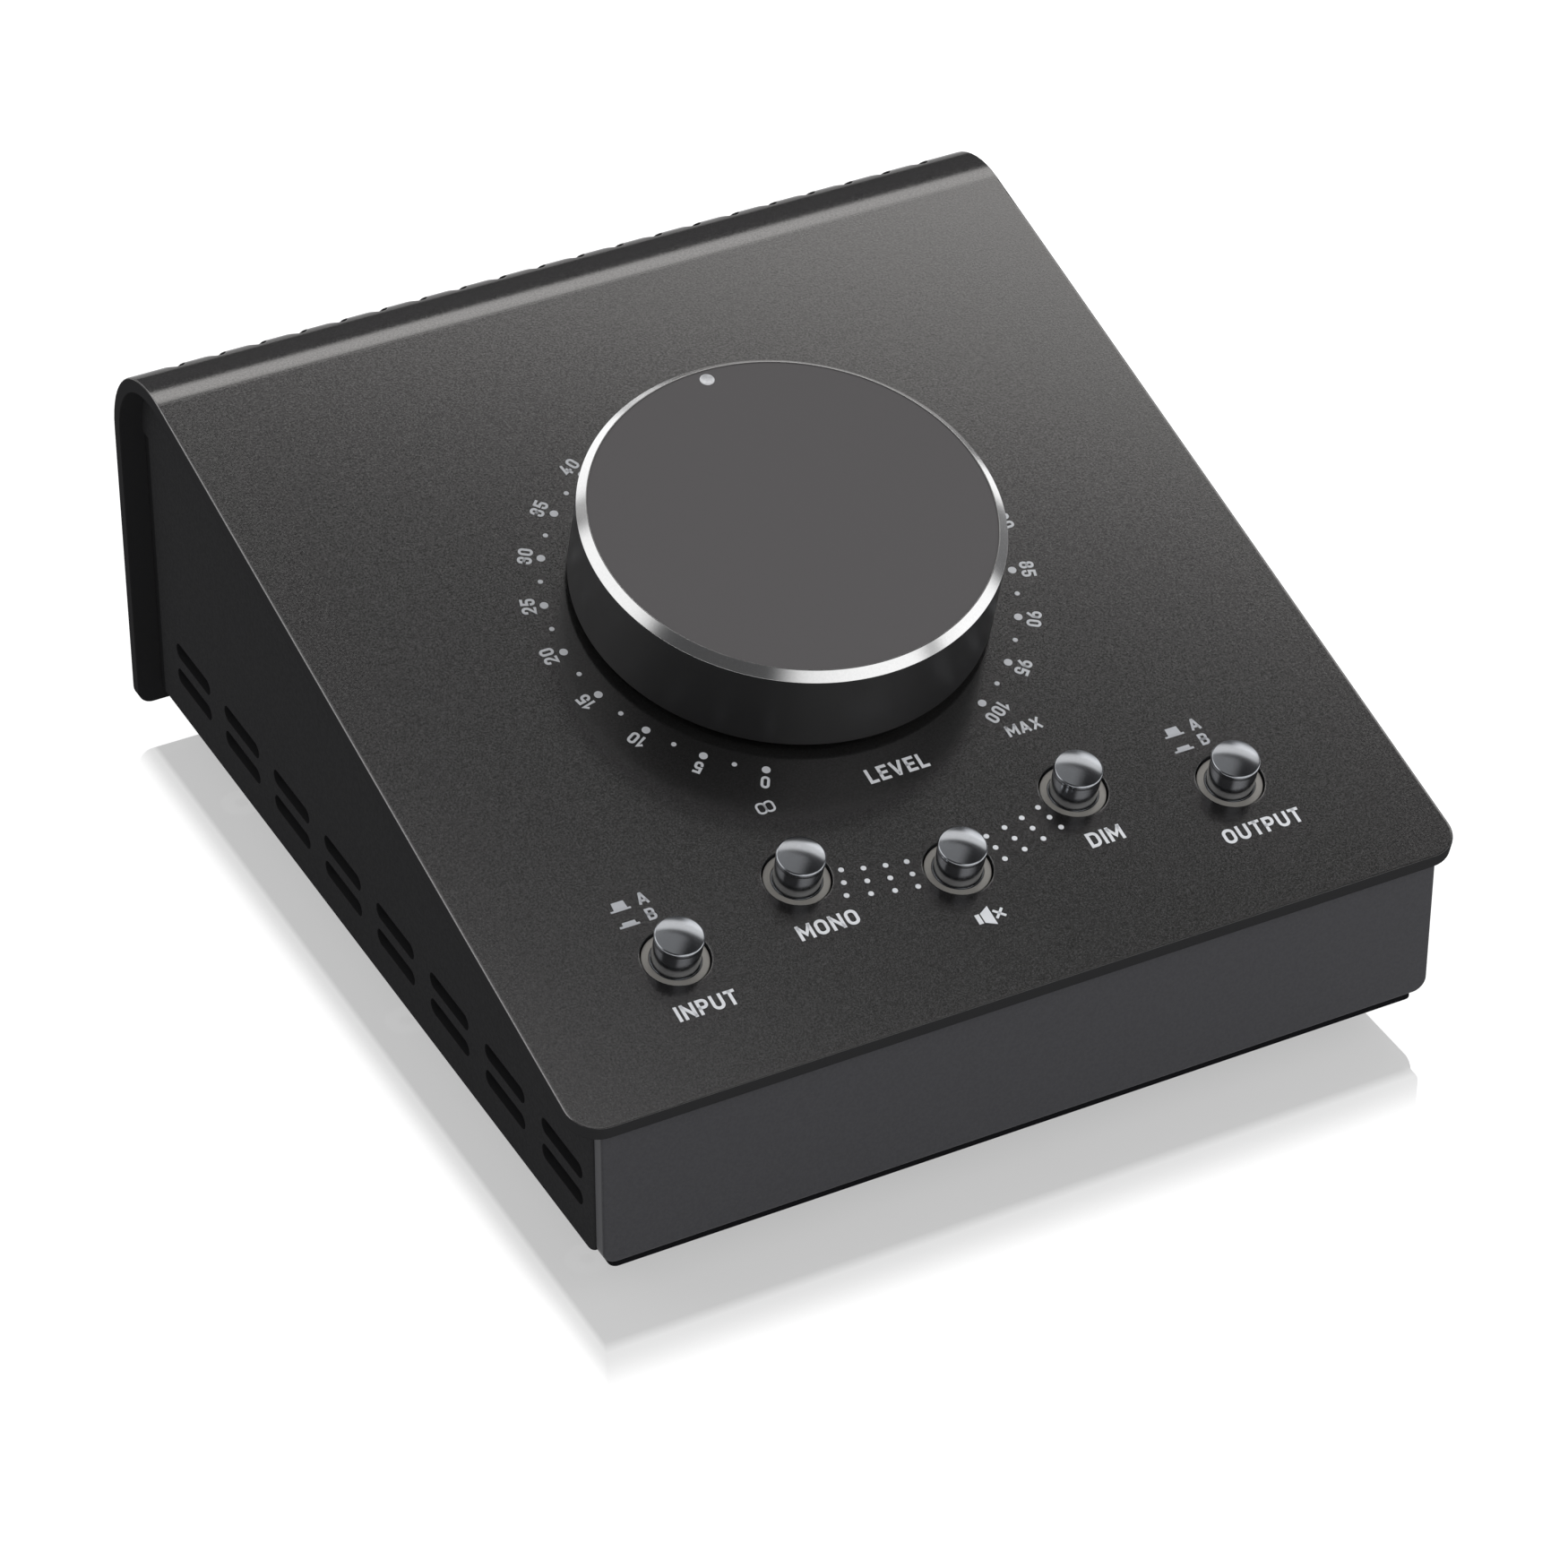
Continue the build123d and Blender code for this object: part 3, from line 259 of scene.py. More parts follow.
# Grain: two sizes of noise for bump, tone and gloss, and slow blotches for uneven roughness.
fine_ratio, fine_share = 2.3, 0.35
blotch_ratio, blotch_span = 0.018, (0.35, 0.65)
grain, given, result = effect(
    "fine_grain", {"Vector": "Vector", "Scale": "Float"}, {"Height": "Float", "Blotch": "Float"}
)
coarse = put(grain, "ShaderNodeTexNoise", {"Vector": given["Vector"], "Scale": given["Scale"],
                                           "Detail": 2.0})
finer = put(grain, "ShaderNodeMath", {0: given["Scale"], 1: fine_ratio}, operation="MULTIPLY")
fine = put(grain, "ShaderNodeTexNoise", {"Vector": given["Vector"], "Scale": finer.outputs[0],
                                         "Detail": 1.0})
both = put(grain, "ShaderNodeMix", {0: fine_share, 2: coarse.outputs[0], 3: fine.outputs[0]})
slower = put(grain, "ShaderNodeMath", {0: given["Scale"], 1: blotch_ratio}, operation="MULTIPLY")
slow = put(grain, "ShaderNodeTexNoise", {"Vector": given["Vector"], "Scale": slower.outputs[0],
                                         "Detail": 3.0})
blotch = put(grain, "ShaderNodeMapRange", {0: slow.outputs[0], 1: blotch_span[0], 2: blotch_span[1]})
grain.links.new(both.outputs[0], result.inputs["Height"])
grain.links.new(blotch.outputs[0], result.inputs["Blotch"])

# Soft edge: normals rounded over a small radius, and a mask that is 1 where they leave the surface's own.
# On faces square to Flat the normals are first made straight, so that a bend beside them doesn't bow them.
# The spans are of the dot product of the two normals that are compared.
edge_span = (0.95, 0.75)
square_span = (0.9996, 0.9999)
edge, given, result = effect(
    "soft_edge", {"Radius": "Float", "Flat": "Vector"}, {"Normal": "Vector", "Mask": "Float"}
)
bevel = put(edge, "ShaderNodeBevel", {"Radius": given["Radius"]}, samples=6)
shape = put(edge, "ShaderNodeNewGeometry").outputs
alike = put(edge, "ShaderNodeVectorMath", {0: bevel.outputs[0], 1: shape["Normal"]}, operation="DOT_PRODUCT")
mask = put(edge, "ShaderNodeMapRange", {0: alike.outputs["Value"], 1: edge_span[0], 2: edge_span[1]})
straight = put(edge, "ShaderNodeVectorMath", {0: shape["True Normal"], 1: given["Flat"]},
               operation="DOT_PRODUCT")
straight = put(edge, "ShaderNodeMapRange", {0: straight.outputs["Value"], 1: square_span[0],
                                            2: square_span[1]})
bow = put(edge, "ShaderNodeVectorMath", {0: shape["True Normal"], 1: shape["Normal"]}, operation="SUBTRACT")
bow = put(edge, "ShaderNodeVectorMath", {0: bow.outputs[0], 3: straight.outputs[0]}, operation="SCALE")
mended = put(edge, "ShaderNodeVectorMath", {0: bevel.outputs[0], 1: bow.outputs[0]}, operation="ADD")
mended = put(edge, "ShaderNodeVectorMath", {0: mended.outputs[0]}, operation="NORMALIZE")
edge.links.new(mended.outputs[0], result.inputs["Normal"])
edge.links.new(mask.outputs[0], result.inputs["Mask"])

# True bend: the exact normal of a bend round an axis along X, in place of the one between its flat strips.
# The sheet goes straight down behind the axis, and in front of the bend it is square to Flat.
arm_span = (0.9, 0.95)
bend, given, result = effect(
    "true_bend",
    {"Vector": "Vector", "Axis": "Vector", "Flat": "Vector", "Normal": "Vector", "Mask": "Float"},
    {"Normal": "Vector"},
)
shape = put(bend, "ShaderNodeNewGeometry").outputs
arm = put(bend, "ShaderNodeVectorMath", {0: given["Vector"], 1: given["Axis"]}, operation="SUBTRACT")
arm = put(bend, "ShaderNodeVectorMath", {0: arm.outputs[0], 1: (0, 1, 1)}, operation="MULTIPLY")
arm = put(bend, "ShaderNodeVectorMath", {0: arm.outputs[0], 1: (-1, -1, 0)}, operation="MAXIMUM")
arm = put(bend, "ShaderNodeVectorMath", {0: arm.outputs[0]}, operation="NORMALIZE").outputs[0]
along_arm = put(bend, "ShaderNodeVectorMath", {0: shape["True Normal"], 1: arm}, operation="DOT_PRODUCT")
share = put(bend, "ShaderNodeMapRange", {0: along_arm.outputs["Value"], 1: arm_span[0], 2: arm_span[1]})
straight = put(bend, "ShaderNodeVectorMath", {0: shape["True Normal"], 1: given["Flat"]},
               operation="DOT_PRODUCT")
curved = put(bend, "ShaderNodeMapRange", {0: straight.outputs["Value"], 1: square_span[0],
                                          2: square_span[1], 3: 1.0, 4: 0.0})
share = put(bend, "ShaderNodeMath", {0: share.outputs[0], 1: curved.outputs[0]}, operation="MULTIPLY")
inside_edge = put(bend, "ShaderNodeMath", {0: 1.0, 1: given["Mask"]}, operation="SUBTRACT")
share = put(bend, "ShaderNodeMath", {0: share.outputs[0], 1: inside_edge.outputs[0]}, operation="MULTIPLY")
mended = put(bend, "ShaderNodeMix", {0: share.outputs[0], 4: given["Normal"], 5: arm}, data_type="VECTOR")
bend.links.new(mended.outputs[1], result.inputs["Normal"])

# Outer skin: 1 on faces turned towards Outward and on the soft edges beside them, 0 on cuts and inside, where
# the coat paints shade.
facing_span, turned_span = (0.45, 0.55), (0.1, 0.3)
skin, given, result = effect(
    "outer_skin", {"Outward": "Vector", "Normal": "Vector", "Mask": "Float"}, {"Skin": "Float"}
)
shape = put(skin, "ShaderNodeNewGeometry").outputs
facing = put(skin, "ShaderNodeVectorMath", {0: shape["True Normal"], 1: given["Outward"]},
             operation="DOT_PRODUCT")
facing = put(skin, "ShaderNodeMapRange", {0: facing.outputs["Value"], 1: facing_span[0], 2: facing_span[1]})
turned = put(skin, "ShaderNodeVectorMath", {0: given["Normal"], 1: given["Outward"]},
             operation="DOT_PRODUCT")
turned = put(skin, "ShaderNodeMapRange", {0: turned.outputs["Value"], 1: turned_span[0], 2: turned_span[1]})
turned = put(skin, "ShaderNodeMath", {0: turned.outputs[0], 1: given["Mask"]}, operation="MULTIPLY")
facing = put(skin, "ShaderNodeMath", {0: facing.outputs[0], 1: turned.outputs[0]}, operation="MAXIMUM")
skin.links.new(facing.outputs[0], result.inputs["Skin"])


def coated(name, colour, edge_colour_and_highlight, roughness, grain_size, grain_depth, edge_radius, metallic=0.0,
           specular=0.5, speckle=0.08, flat=(0, 0, 0), bend_axis=None, outward=None, cut_shade_colour=None,
           grazing=1.0):
    """Material with a grained, speckled coat whose edges are softened and take the edge colour, on most
    finishes lighter than the coat, a painted highlight.

    With outward given, faces turned away from it, such as cuts, slot sides and inner faces, get the dull dark
    cut colour and lose the metal's shine, a painted shade.
    Grazing is the share of a metal's shine that is left where it is seen from the side."""
    material = bpy.data.materials.new(name)
    tree = blank(material)
    place = put(tree, "ShaderNodeTexCoord").outputs["Object"]
    rough = put(tree, "ShaderNodeGroup", {"Vector": place, "Scale": 1 / grain_size}, node_tree=grain)
    softened = put(tree, "ShaderNodeGroup", {"Radius": edge_radius, "Flat": flat}, node_tree=edge)
    normal, mask = softened.outputs["Normal"], softened.outputs["Mask"]
    if bend_axis:
        normal = put(tree, "ShaderNodeGroup", {"Vector": place, "Axis": bend_axis, "Flat": flat,
                                               "Normal": normal, "Mask": mask}, node_tree=bend).outputs[0]
    bump = put(tree, "ShaderNodeBump", {"Strength": 1.0, "Distance": grain_depth,
                                        "Height": rough.outputs["Height"], "Normal": normal})
    darker, lighter = [
        tuple(min(1.0, share * c) for c in rgb(colour)[:3]) + (1,) for share in (1 - speckle, 1 + speckle)
    ]
    grains = put(tree, "ShaderNodeMapRange", {0: rough.outputs["Height"], 1: tone_span[0], 2: tone_span[1]})
    tone = put(tree, "ShaderNodeMix", {0: grains.outputs[0], 6: darker, 7: lighter}, data_type="RGBA")
    # Along the softened edges the tone turns to the edge colour, a painted highlight where it is lighter than
    # the coat.
    tone = put(tree, "ShaderNodeMix", {0: mask, 6: tone.outputs[2], 7: rgb(edge_colour_and_highlight)}, data_type="RGBA")
    # Faces turned away from outward are painted in the cut colour, a painted shade on cuts, slot sides and
    # inner faces.
    if outward:
        skin_not_shaded = put(tree, "ShaderNodeGroup", {"Outward": outward, "Normal": softened.outputs["Normal"],
                                              "Mask": mask}, node_tree=skin).outputs[0]
        tone = put(tree, "ShaderNodeMix", {0: skin_not_shaded, 6: rgb(cut_shade_colour), 7: tone.outputs[2]},
                   data_type="RGBA")
    if outward and metallic:
        metallic = put(tree, "ShaderNodeMath", {0: skin_not_shaded, 1: metallic}, operation="MULTIPLY").outputs[0]
    gloss = put(tree, "ShaderNodeMapRange", {0: rough.outputs["Height"], 1: gloss_span[0], 2: gloss_span[1],
                                             3: roughness + gloss_change[0], 4: roughness + gloss_change[1]})
    surface = put(tree, "ShaderNodeBsdfPrincipled", {
        "Base Color": tone.outputs[2], "Roughness": gloss.outputs[0], "Metallic": metallic,
        "Specular IOR Level": specular, "Specular Tint": (grazing, grazing, grazing, 1),
        "Normal": bump.outputs[0],
    })
    put(tree, "ShaderNodeOutputMaterial", {0: surface.outputs[0]})
    return material


def dress(material, *names):
    """Gives the material to every slot of these CAD nodes."""
    for name in names:
        slots = nodes[name].data.materials
        for k in range(len(slots)):
            slots[k] = material


powder_coat = coated(
    "powder_coat", "949393", "b6b5b5", roughness=0.14, grain_size=0.00026, grain_depth=0.000004,
    edge_radius=0.0003, metallic=0.96, specular=0.0, speckle=0.13, flat=panel_normal,
    bend_axis=(0, bend_y / 1000, bend_z / 1000), outward=(0, 0.3, 0.954), cut_shade_colour="333334", grazing=0.3,
)
dress(powder_coat, "top_hood")

# ------------------------------------------------------------------ chassis
# Side walls, front, rear and base plates: folded steel in a near-black powder coat that is smoother
# than the hood's. They are held by studs, nuts and screws.
# The walls' slot sides, cuts and inner faces take the darker cut colour, a painted shade, and their edges the
# lighter edge colour, a painted highlight.
wall_sides = {"left_wall": (-1, 0, 0), "right_wall": (1, 0, 0), "rear_plate": (0, 1, 0)}
for name, outward in wall_sides.items():
    wall_coat = coated(
        f"{name}_coat", "353536", "404041", roughness=0.6, grain_size=0.0005, grain_depth=0.000008,
        edge_radius=0.0002, specular=0.0, outward=outward, cut_shade_colour="2a2a2b",
    )
    dress(wall_coat, name)
# The coat is one, but the front plate gets a lighter grey than the walls and the base plate a darker one:
# painted light and shade.
plate_coat = coated("plate_coat", "434346", "464649", roughness=0.5, grain_size=0.0004,
                    grain_depth=0.000012, edge_radius=0.0002, specular=0.1)
dress(plate_coat, "front_plate")
base_coat = coated("base_coat", "1c1c1e", "2a2a2c", roughness=0.6, grain_size=0.0005,
                   grain_depth=0.000008, edge_radius=0.0002, specular=0.0)
dress(base_coat, "base_plate")

# ------------------------------------------------------------------ fasteners, feet and inner pieces
# Zinc-plated studs and nuts, black screws, rubber feet, and the boards, switches and potentiometer
# that show only through the slots and from below.
# Each finish: colour, edge colour (mostly lighter, a painted edge highlight), roughness, grain size and
# depth, edge radius, metallic and specular level.
finishes = {
    ("zinc_plate", "a9aaa6", "c4c5c2", 0.34, 0.0009, 0.000010, 0.00012, 1.0, 0.5): [
        "hood_studs", "hood_nuts", "front_studs", "front_nuts", "rear_plate_nuts", "base_nuts", "foot_nuts",
        "control_board_standoffs", "jack_board_standoffs", "knob_hub_ring",
    ],
    ("black_oxide", "1a1a1b", "3a3a3b", 0.36, 0.0006, 0.000010, 0.00012, 0.6, 0.5): [
        "rear_plate_screws", "base_screws", "foot_screws", "control_board_screws", "jack_board_screws",
    ],
    ("foot_rubber", "151515", "222222", 0.75, 0.0004, 0.000030, 0.0004, 0.0, 0.3): ["rubber_feet"],
    ("nickel_plate", "b4b2aa", "d2d1cb", 0.24, 0.0008, 0.000006, 0.00012, 1.0, 0.5): [
        "jack_nuts", "mini_jack_nut", "pot_nut", "pot_washer", "pot_bushing",
    ],
    ("ground_steel", "b9b9b6", "d0d0cd", 0.28, 0.0007, 0.000006, 0.0001, 1.0, 0.5): ["pot_shaft"],
    ("jack_plastic", "161617", "2a2a2b", 0.45, 0.0005, 0.000012, 0.00015, 0.0, 0.5): [
        name for name in nodes if name.endswith("_jack")
    ],
    ("moulded_plastic", "1d1d1e", "303031", 0.5, 0.0004, 0.000012, 0.0002, 0.0, 0.5): [
        "knob_core", "control_board_header", "jack_board_header", "pot_housing",
        *[name for name in nodes if name.endswith("_switch_body")],
    ],
    ("plunger_plastic", "cfcdc6", "dddbd5", 0.45, 0.0006, 0.000008, 0.0002, 0.0, 0.5): [
        name for name in nodes if name.endswith("_switch_plunger")
    ],
    ("board_laminate", "14301f", "38402a", 0.4, 0.0016, 0.000010, 0.0001, 0.0, 0.5): [
        "control_board", "jack_board",
    ],
    ("ribbon_cable", "85878a", "9a9ca0", 0.5, 0.0012, 0.000012, 0.0002, 0.0, 0.5): ["ribbon_link"],
}
for finish, names in finishes.items():
    dress(coated(*finish), *names)

# ------------------------------------------------------------------ volume knob
# Turned from aluminium and anodised: a black skirt, a bead-blasted grey face, and between them a bright
# chamfer that was cut with a diamond tool afterwards. A bright pin with a dished end marks the setting.
knob_place = (0, 72.1)
knob_radius = 28.4
knob_top = 14.7
skirt_bottom = 1.4
chamfer_width = 1.2
chamfer_height = 1.05
face_recess = 0.1
face_start = 0.1
lip_width = 0.15
shell_wall = 1.6
shell_top = 1.8
pin_orbit = 25.5
pin_hole_radius = 1.05
pin_hole_depth = 0.5
knob_segments = 256
hole_segments = 48
longest_mitre = 1.7
skirt_slot, chamfer_slot, face_slot = 0, 1, 2


def on_panel(u, v, h):
    """Metres in the frame for places along the panel, up its slope and out of it, in millimetres."""
    y = front_edge[0] + v * np.cos(slope) - h * np.sin(slope)
    z = front_edge[1] + v * np.sin(slope) + h * np.cos(slope)
    return np.stack(np.broadcast_arrays(u, y, z), -1).reshape(-1, 3) / 1000


def rounded(corners, radii, closed=False, step=0.2):
    """Points along runs between corners, each corner turned by an arc, and the normals on their right.

    An arc's centre lies on the corner's bisector, radius over the cosine of half the turn away. A corner of
    radius 0 stays one point, and its normal is lengthened to the mitre, 1 over the same cosine."""
    corners = np.asarray(corners, float)
    radii = np.broadcast_to(np.asarray(radii, float), len(corners))
    runs = np.roll(corners, -1, 0) - corners
    headings = np.arctan2(runs[:, 1], runs[:, 0])
    points, normals = [], []
    for k, corner in enumerate(corners):
        behind, ahead = headings[k - 1], headings[k]
        if not closed and k == 0:
            behind = ahead
        if not closed and k == len(corners) - 1:
            ahead = behind
        turn = (ahead - behind + np.pi) % (2 * np.pi) - np.pi
        if radii[k] == 0 or abs(turn) < 1e-6:
            middle = behind + turn / 2
            mitre = min(1 / max(np.cos(turn / 2), 0.1), longest_mitre)
            points.append(corner[None])
            normals.append(mitre * np.array([[np.sin(middle), -np.cos(middle)]]))
            continue
        side = np.sign(turn)
        inward = behind + turn / 2 + side * np.pi / 2
        centre = corner + radii[k] / np.cos(turn / 2) * np.array([np.cos(inward), np.sin(inward)])
        along = behind + turn * np.linspace(0, 1, 2 + int(abs(turn) / step))
        right = np.stack([np.sin(along), -np.cos(along)], 1)
        points.append(centre + side * radii[k] * right)
        normals.append(right)
    return np.concatenate(points), np.concatenate(normals)


def add_piece(name, points, faces, materials, face_materials=None, normals=None, uv=None):
    """Links a new smooth mesh object whose points are in metres in the frame."""
    mesh = bpy.data.meshes.new(name)
    mesh.from_pydata(points, [], faces)
    for material in materials:
        mesh.materials.append(material)
    if face_materials is not None:
        mesh.polygons.foreach_set("material_index", np.asarray(face_materials, np.int32))
    if uv is not None:
        mesh.uv_layers.new(name="turned").data.foreach_set("uv", np.asarray(uv, np.float32).ravel())
    if normals is not None:
        mesh.shade_smooth()
        mesh.normals_split_custom_set_from_vertices(normals)
    mesh.update()
    piece = bpy.data.objects.new(name, mesh)
    scene.collection.objects.link(piece)
    return piece


def turned_mesh(profile, profile_normals, place, segments):
    """Points, normals, faces and UVs of a profile of radius and height, turned round the panel's normal.

    A point is the radius times the cosine and sine of the angle, at the profile's height. Profile points on
    the axis become one vertex. U is the angle's share of the turn and V the distance along the profile."""
    radius, height = profile.T
    count = len(profile)
    angle = np.linspace(0, 2 * np.pi, segments, endpoint=False)
    u = place[0] + np.outer(radius, np.cos(angle))
    v = place[1] + np.outer(radius, np.sin(angle))
    points = on_panel(u, v, np.repeat(height[:, None], segments, 1))
    across_panel = np.outer(profile_normals[:, 0], np.cos(angle)).ravel()
    up_panel = np.outer(profile_normals[:, 0], np.sin(angle)).ravel()
    off_panel = np.repeat(profile_normals[:, 1], segments)
    normal_y = up_panel * np.cos(slope) - off_panel * np.sin(slope)
    normal_z = up_panel * np.sin(slope) + off_panel * np.cos(slope)
    normals = np.stack([across_panel, normal_y, normal_z], 1)
    run, turn = np.meshgrid(np.arange(count - 1), np.arange(segments), indexing="ij")
    after = (turn + 1) % segments
    quads = np.stack([run * segments + turn, run * segments + after, (run + 1) * segments + after,
                      (run + 1) * segments + turn], -1).reshape(-1, 4)
    length = np.concatenate([[0], np.cumsum(np.linalg.norm(np.diff(profile, axis=0), axis=1))])
    share = np.stack([turn, turn + 1, turn + 1, turn], -1) / segments
    way = np.stack([length[run], length[run], length[run + 1], length[run + 1]], -1)
    uv = np.stack([share, way], -1).reshape(-1, 4, 2)
    first_on_axis, last_on_axis = radius[0] < 1e-6, radius[-1] < 1e-6
    if first_on_axis:
        quads[quads < segments] = 0
    if last_on_axis:
        quads[quads >= (count - 1) * segments] = (count - 1) * segments
    faces, corners = [], []
    for quad, corner in zip(quads.tolist(), uv):
        kept = [k for k in range(4) if quad[k] != quad[k - 1]]
        faces.append([quad[k] for k in kept])
        corners.append(corner[kept])
    used = np.unique(np.concatenate(faces))
    renumber = np.zeros(count * segments, int)
    renumber[used] = np.arange(len(used))
    faces = [renumber[face].tolist() for face in faces]
    return points[used], normals[used], faces, corners


# Turning marks: fine rings that follow the profile, read from the V of the turned meshes, and patches.
patch_scale = 260.0
marks, given, result = effect("turning_marks", {"Rings": "Float", "Uneven": "Float"}, {"Height": "Float"})
place = put(marks, "ShaderNodeUVMap", uv_map="turned")
along = put(marks, "ShaderNodeSeparateXYZ", {0: place.outputs[0]})
rings = put(marks, "ShaderNodeTexNoise", {"W": along.outputs["Y"], "Scale": given["Rings"], "Detail": 2.0},
            noise_dimensions="1D")
around = put(marks, "ShaderNodeTexCoord").outputs["Object"]
patches = put(marks, "ShaderNodeTexNoise", {"Vector": around, "Scale": patch_scale, "Detail": 2.0})
both = put(marks, "ShaderNodeMix", {0: given["Uneven"], 2: rings.outputs[0], 3: patches.outputs[0]})
marks.links.new(both.outputs[0], result.inputs["Height"])


haze_scale = 3000.0
ring_shade = 0.86


def turned_metal(name, colour, roughness, rings, depth, metallic=1.0, uneven=0.3, spread=0.05,
                 share_in_painted_reflection=1.0):
    """Material of a turned surface, with rings in its bump and slightly uneven roughness.

    Seen by other glossy surfaces, it is darkened to a share of its colour when that share is below 1: a
    painted dark reflection."""
    material = bpy.data.materials.new(name)
    tree = blank(material)
    lathe = put(tree, "ShaderNodeGroup", {"Rings": rings, "Uneven": uneven}, node_tree=marks)
    bump = put(tree, "ShaderNodeBump", {"Strength": 1.0, "Distance": depth, "Height": lathe.outputs[0]})
    place = put(tree, "ShaderNodeTexCoord").outputs["Object"]
    haze = put(tree, "ShaderNodeGroup", {"Vector": place, "Scale": haze_scale}, node_tree=grain)
    dull = put(tree, "ShaderNodeMapRange", {0: haze.outputs["Blotch"], 1: 0.0, 2: 1.0,
                                            3: roughness - spread, 4: roughness + spread})
    darker = tuple(ring_shade * c for c in rgb(colour)[:3]) + (1,)
    tone = put(tree, "ShaderNodeMix", {0: haze.outputs["Height"], 6: darker, 7: rgb(colour)},
               data_type="RGBA")
    # Seen by glossy rays the colour is darkened to that share: a painted dark reflection.
    if share_in_painted_reflection < 1:
        ray = put(tree, "ShaderNodeLightPath").outputs
        dim = tuple(share_in_painted_reflection * c for c in rgb(colour)[:3]) + (1,)
        tone = put(tree, "ShaderNodeMix", {0: ray["Is Glossy Ray"], 6: tone.outputs[2], 7: dim},
                   data_type="RGBA")
    surface = put(tree, "ShaderNodeBsdfPrincipled", {
        "Base Color": tone.outputs[2], "Roughness": dull.outputs[0], "Metallic": metallic,
        "Normal": bump.outputs[0],
    })
    put(tree, "ShaderNodeOutputMaterial", {0: surface.outputs[0]})
    return material


knob_skirt = turned_metal("knob_skirt", "2a2a2b", roughness=0.40, rings=3.0, depth=0.000004, metallic=0.0)
knob_face = coated("knob_face", "5d5b5c", "5d5b5c", roughness=0.62, grain_size=0.00016,
                   grain_depth=0.000003, edge_radius=0.00003, specular=0.2, speckle=0.02)
bright_cut = turned_metal("bright_cut", "f0f0f0", roughness=0.15, rings=9.0, depth=0.0000008)

lip_radius = knob_radius - chamfer_width
face_radius = lip_radius - lip_width
face_height = knob_top - face_recess
shell_corners = np.array([  # radius, height and rounding of each corner, from the axis under the top outwards
    (0, knob_top - shell_top, 0),
    (knob_radius - shell_wall, knob_top - shell_top, 0.2),
    (knob_radius - shell_wall, skirt_bottom, 0.15),
    (knob_radius, skirt_bottom, 0.15),
    (knob_radius, knob_top - chamfer_height, 0.07),
    (lip_radius, knob_top, 0.05),
    (face_radius, knob_top, 0.03),
    (face_radius, face_height, 0.03),
    (face_radius - face_start, face_height, 0),
])
profile, outward = rounded(shell_corners[:, :2], shell_corners[:, 2], step=0.3)
points, normals, faces, corners = turned_mesh(profile, outward, knob_place, knob_segments)
run_radius, run_height = (profile[:-1] + profile[1:]).T / 2
on_chamfer = run_height > knob_top - chamfer_height - 0.3 * face_recess
on_face = (run_height > face_height - 0.2 * face_recess) & (run_radius < face_radius + 0.2 * face_recess)
inside = (run_radius < knob_radius - shell_wall + 0.1 * face_recess) & (run_height < knob_top - shell_wall)
run_slots = [skirt_slot, face_slot, chamfer_slot]
run_kinds = np.select([inside, on_face, on_chamfer], run_slots, skirt_slot)

# The face is flat and has a hole for the pin, so it is triangulated between its rim and the hole.
turn = np.linspace(0, 2 * np.pi, knob_segments, endpoint=False)
rim_outline = np.stack([np.cos(turn), np.sin(turn)], 1) * (face_radius - face_start)
turn = np.linspace(0, 2 * np.pi, hole_segments, endpoint=False)
hole_outline = np.stack([np.cos(turn), np.sin(turn)], 1) * pin_hole_radius + (0, pin_orbit)
outline = [Vector(p) for p in np.concatenate([rim_outline, hole_outline])]
rim_loop = list(range(knob_segments))
hole_loop = list(range(knob_segments + hole_segments - 1, knob_segments - 1, -1))
net = delaunay_2d_cdt(outline, [], [rim_loop, hole_loop], 1, 1e-6)
face_points = np.array([[p.x, p.y] for p in net[0]])
middles = face_points[np.array(net[2])].mean(1)
in_hole = np.linalg.norm(middles - (0, pin_orbit), axis=1) < pin_hole_radius * 0.98
triangles = np.array(net[2])[~in_hole]
face_xyz = on_panel(knob_place[0] + face_points[:, 0], knob_place[1] + face_points[:, 1], face_height)
hole_u = knob_place[0] + hole_outline[:, 0]
hole_v = knob_place[1] + hole_outline[:, 1]
hole_top = on_panel(hole_u, hole_v, face_height)
hole_bottom = on_panel(hole_u, hole_v, face_height - pin_hole_depth)
face_first = len(points)
hole_first = face_first + len(face_points)
here = hole_first + np.arange(hole_segments)
after = hole_first + (np.arange(hole_segments) + 1) % hole_segments
hole_quads = np.stack([after, here, here + hole_segments, after + hole_segments], 1)
towards_pin = on_panel(knob_place[0], knob_place[1] + pin_orbit, face_height) - hole_top
towards_pin /= np.linalg.norm(towards_pin, axis=1)[:, None]
face_normals = np.tile(panel_normal, (len(face_points), 1))
triangle_corners = [np.zeros((3, 2))] * len(triangles)
quad_corners = [np.zeros((4, 2))] * hole_segments
knob = add_piece(
    "knob_shell_turned",
    np.concatenate([points, face_xyz, hole_top, hole_bottom]),
    faces + (triangles + face_first).tolist() + hole_quads.tolist(),
    [knob_skirt, bright_cut, knob_face],
    np.concatenate([np.repeat(run_kinds, knob_segments), np.full(len(triangles) + hole_segments, face_slot)]),
    np.concatenate([normals, face_normals, towards_pin, towards_pin]),
    np.concatenate(corners + triangle_corners + quad_corners),
)
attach(knob, "volume_knob")
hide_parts("knob_shell")
pin = coated("bright_pin", "e2e3e6", "f0f0f2", roughness=0.35, grain_size=0.0005, grain_depth=0.000002,
             edge_radius=0.00003, metallic=0.35)
dress(pin, "knob_indicator")

